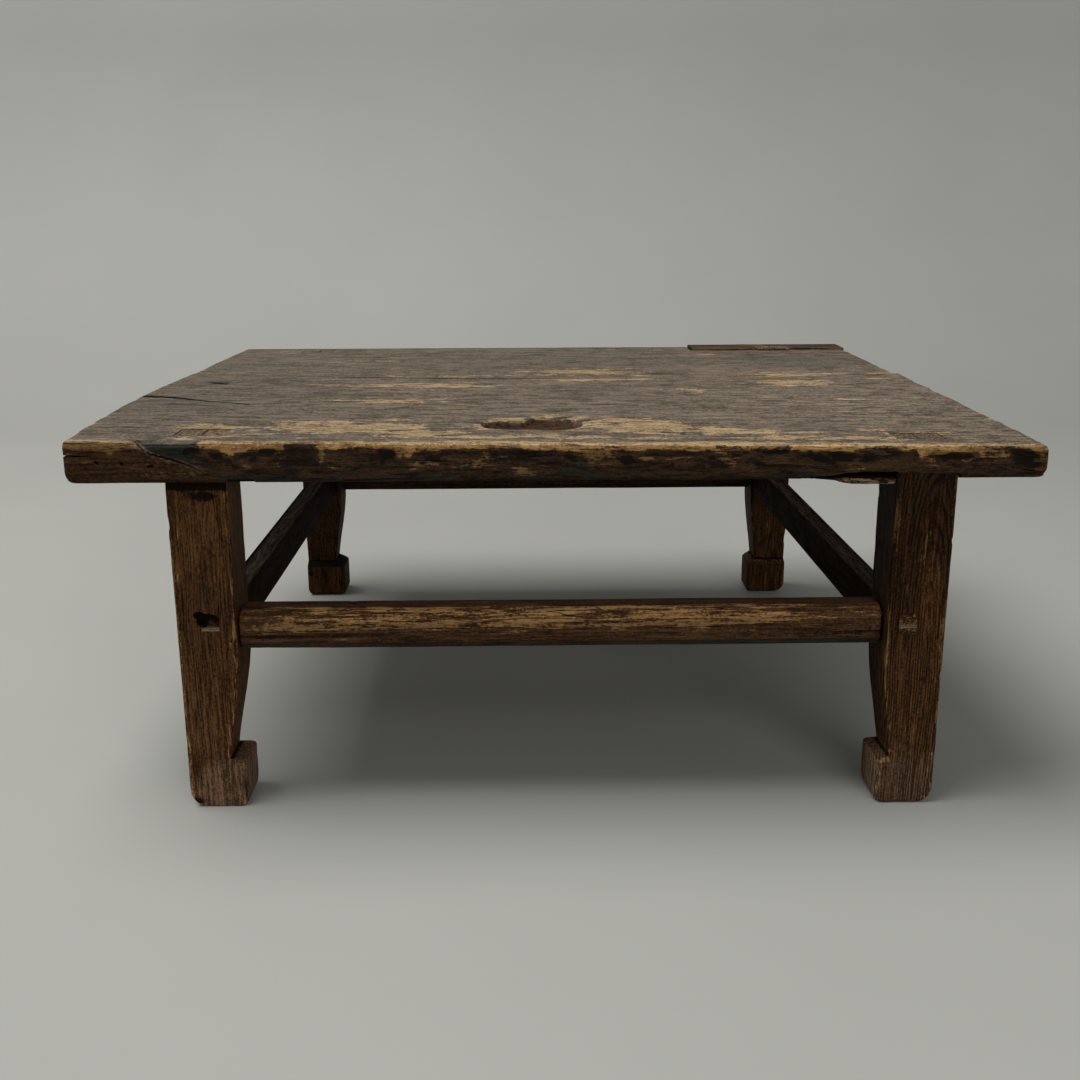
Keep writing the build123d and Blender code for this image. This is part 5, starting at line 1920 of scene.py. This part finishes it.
def set_camera(stage):
    """Camera at its place, turned by yaw and pitch and rolled about its view line."""
    lens = bpy.data.cameras.new("camera")
    lens.sensor_width = 36
    lens.lens = stage.lens
    camera = add_object("camera", lens)
    camera.location = stage.camera_place
    pitch, yaw = stage.pitch, stage.yaw
    ahead = (np.sin(yaw) * np.cos(pitch), np.cos(yaw) * np.cos(pitch), -np.sin(pitch))
    camera.rotation_euler = Matrix(look_axes(np.array(ahead), stage.roll)).to_euler()
    bpy.context.scene.camera = camera


def look_axes(ahead, roll):
    """Rotation rows whose columns are right, up and back, for a view along ahead."""
    right = np.cross(ahead, (0, 0, 1))
    right /= np.linalg.norm(right)
    up = np.cross(right, ahead)
    turned_right = np.cos(roll) * right + np.sin(roll) * up
    turned_up = -np.sin(roll) * right + np.cos(roll) * up
    return np.column_stack([turned_right, turned_up, -ahead]).tolist()


# ---------------------------------------------------------------- operators
class KANG_OT_front_plank(bpy.types.Operator):
    """Build the worn front plank and the splinter under it."""

    bl_idname = "kang.front_plank"
    bl_label = "Front Plank"

    def execute(self, context):
        build_front_plank()
        build_splinter()
        return {"FINISHED"}


class KANG_OT_back_plank(bpy.types.Operator):
    """Build the worn back plank."""

    bl_idname = "kang.back_plank"
    bl_label = "Back Plank"

    def execute(self, context):
        build_back_plank()
        return {"FINISHED"}


class KANG_OT_repair_strip(bpy.types.Operator):
    """Build the repair strip in the back arris."""

    bl_idname = "kang.repair_strip"
    bl_label = "Repair Strip"

    def execute(self, context):
        build_repair_strip()
        return {"FINISHED"}


class KANG_OT_legs(bpy.types.Operator):
    """Build the four hoof legs."""

    bl_idname = "kang.legs"
    bl_label = "Legs"

    def execute(self, context):
        for end, side in LEG_BOXES:
            build_leg(end, side)
        return {"FINISHED"}


class KANG_OT_stretchers(bpy.types.Operator):
    """Build the four stretchers."""

    bl_idname = "kang.stretchers"
    bl_label = "Stretchers"

    def execute(self, context):
        for end in ENDS:
            build_long_stretcher(end)
        for side in SIDES:
            build_side_stretcher(side)
        return {"FINISHED"}


class KANG_OT_fastenings(bpy.types.Operator):
    """Finish the wedges, keys, loose tenons and nails of the frame."""

    bl_idname = "kang.fastenings"
    bl_label = "Fastenings"

    def execute(self, context):
        finishes = {
            node: aged_wood(node + "_wood", grain, kind, seed, 2.2, (30, 60))
            for node, grain, kind, seed in (
                ("top_wedges", "Z", "top", 51),
                ("stretcher_wedges", "X", "wedge", 53),
                ("seam_tenons", "Y", "wedge", 55),
                ("butterfly_keys", "Y", "frame", 57),
            )
        }
        finishes["toe_nails"] = nail_iron()
        for node, material in finishes.items():
            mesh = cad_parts[node].data
            mesh.materials.clear()
            mesh.materials.append(material)
        return {"FINISHED"}


class KANG_OT_stage(bpy.types.Operator):
    """Lay the floor, hang the lamps and set the camera."""

    bl_idname = "kang.stage"
    bl_label = "Stage"

    def execute(self, context):
        stage = context.scene.kang_stage
        lay_floor(stage)
        light_room(stage)
        set_camera(stage)
        context.scene.view_settings.view_transform = "Standard"
        return {"FINISHED"}


class KANG_PT_panel(bpy.types.Panel):
    """Sidebar panel with the table's settings and builders."""

    bl_label = "Kang Table"
    bl_idname = "KANG_PT_panel"
    bl_space_type = "VIEW_3D"
    bl_region_type = "UI"
    bl_category = "Kang Table"

    def draw(self, context):
        scene = context.scene
        for group in (scene.kang_top, scene.kang_legs, scene.kang_finish, scene.kang_stage):
            box = self.layout.box()
            for label in group.__annotations__:
                box.prop(group, label)
        for builder in BUILDERS:
            self.layout.operator(builder.bl_idname)


BUILDERS = (
    KANG_OT_front_plank,
    KANG_OT_back_plank,
    KANG_OT_repair_strip,
    KANG_OT_legs,
    KANG_OT_stretchers,
    KANG_OT_fastenings,
    KANG_OT_stage,
)
SETTINGS = {
    "kang_top": KangTopSettings,
    "kang_legs": KangLegSettings,
    "kang_finish": KangFinishSettings,
    "kang_stage": KangStageSettings,
}


def register():
    for group in SETTINGS.values():
        bpy.utils.register_class(group)
    for label, group in SETTINGS.items():
        setattr(bpy.types.Scene, label, PointerProperty(type=group))
    for item in (*BUILDERS, KANG_PT_panel):
        bpy.utils.register_class(item)


def unregister():
    for item in reversed((*BUILDERS, KANG_PT_panel)):
        bpy.utils.unregister_class(item)
    for label, group in SETTINGS.items():
        delattr(bpy.types.Scene, label)
        bpy.utils.unregister_class(group)


def main():
    """Register the add-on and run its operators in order."""
    register()
    bpy.ops.kang.front_plank()
    bpy.ops.kang.back_plank()
    bpy.ops.kang.repair_strip()
    bpy.ops.kang.legs()
    bpy.ops.kang.stretchers()
    bpy.ops.kang.fastenings()
    bpy.ops.kang.stage()


if __name__ == "__main__":
    main()
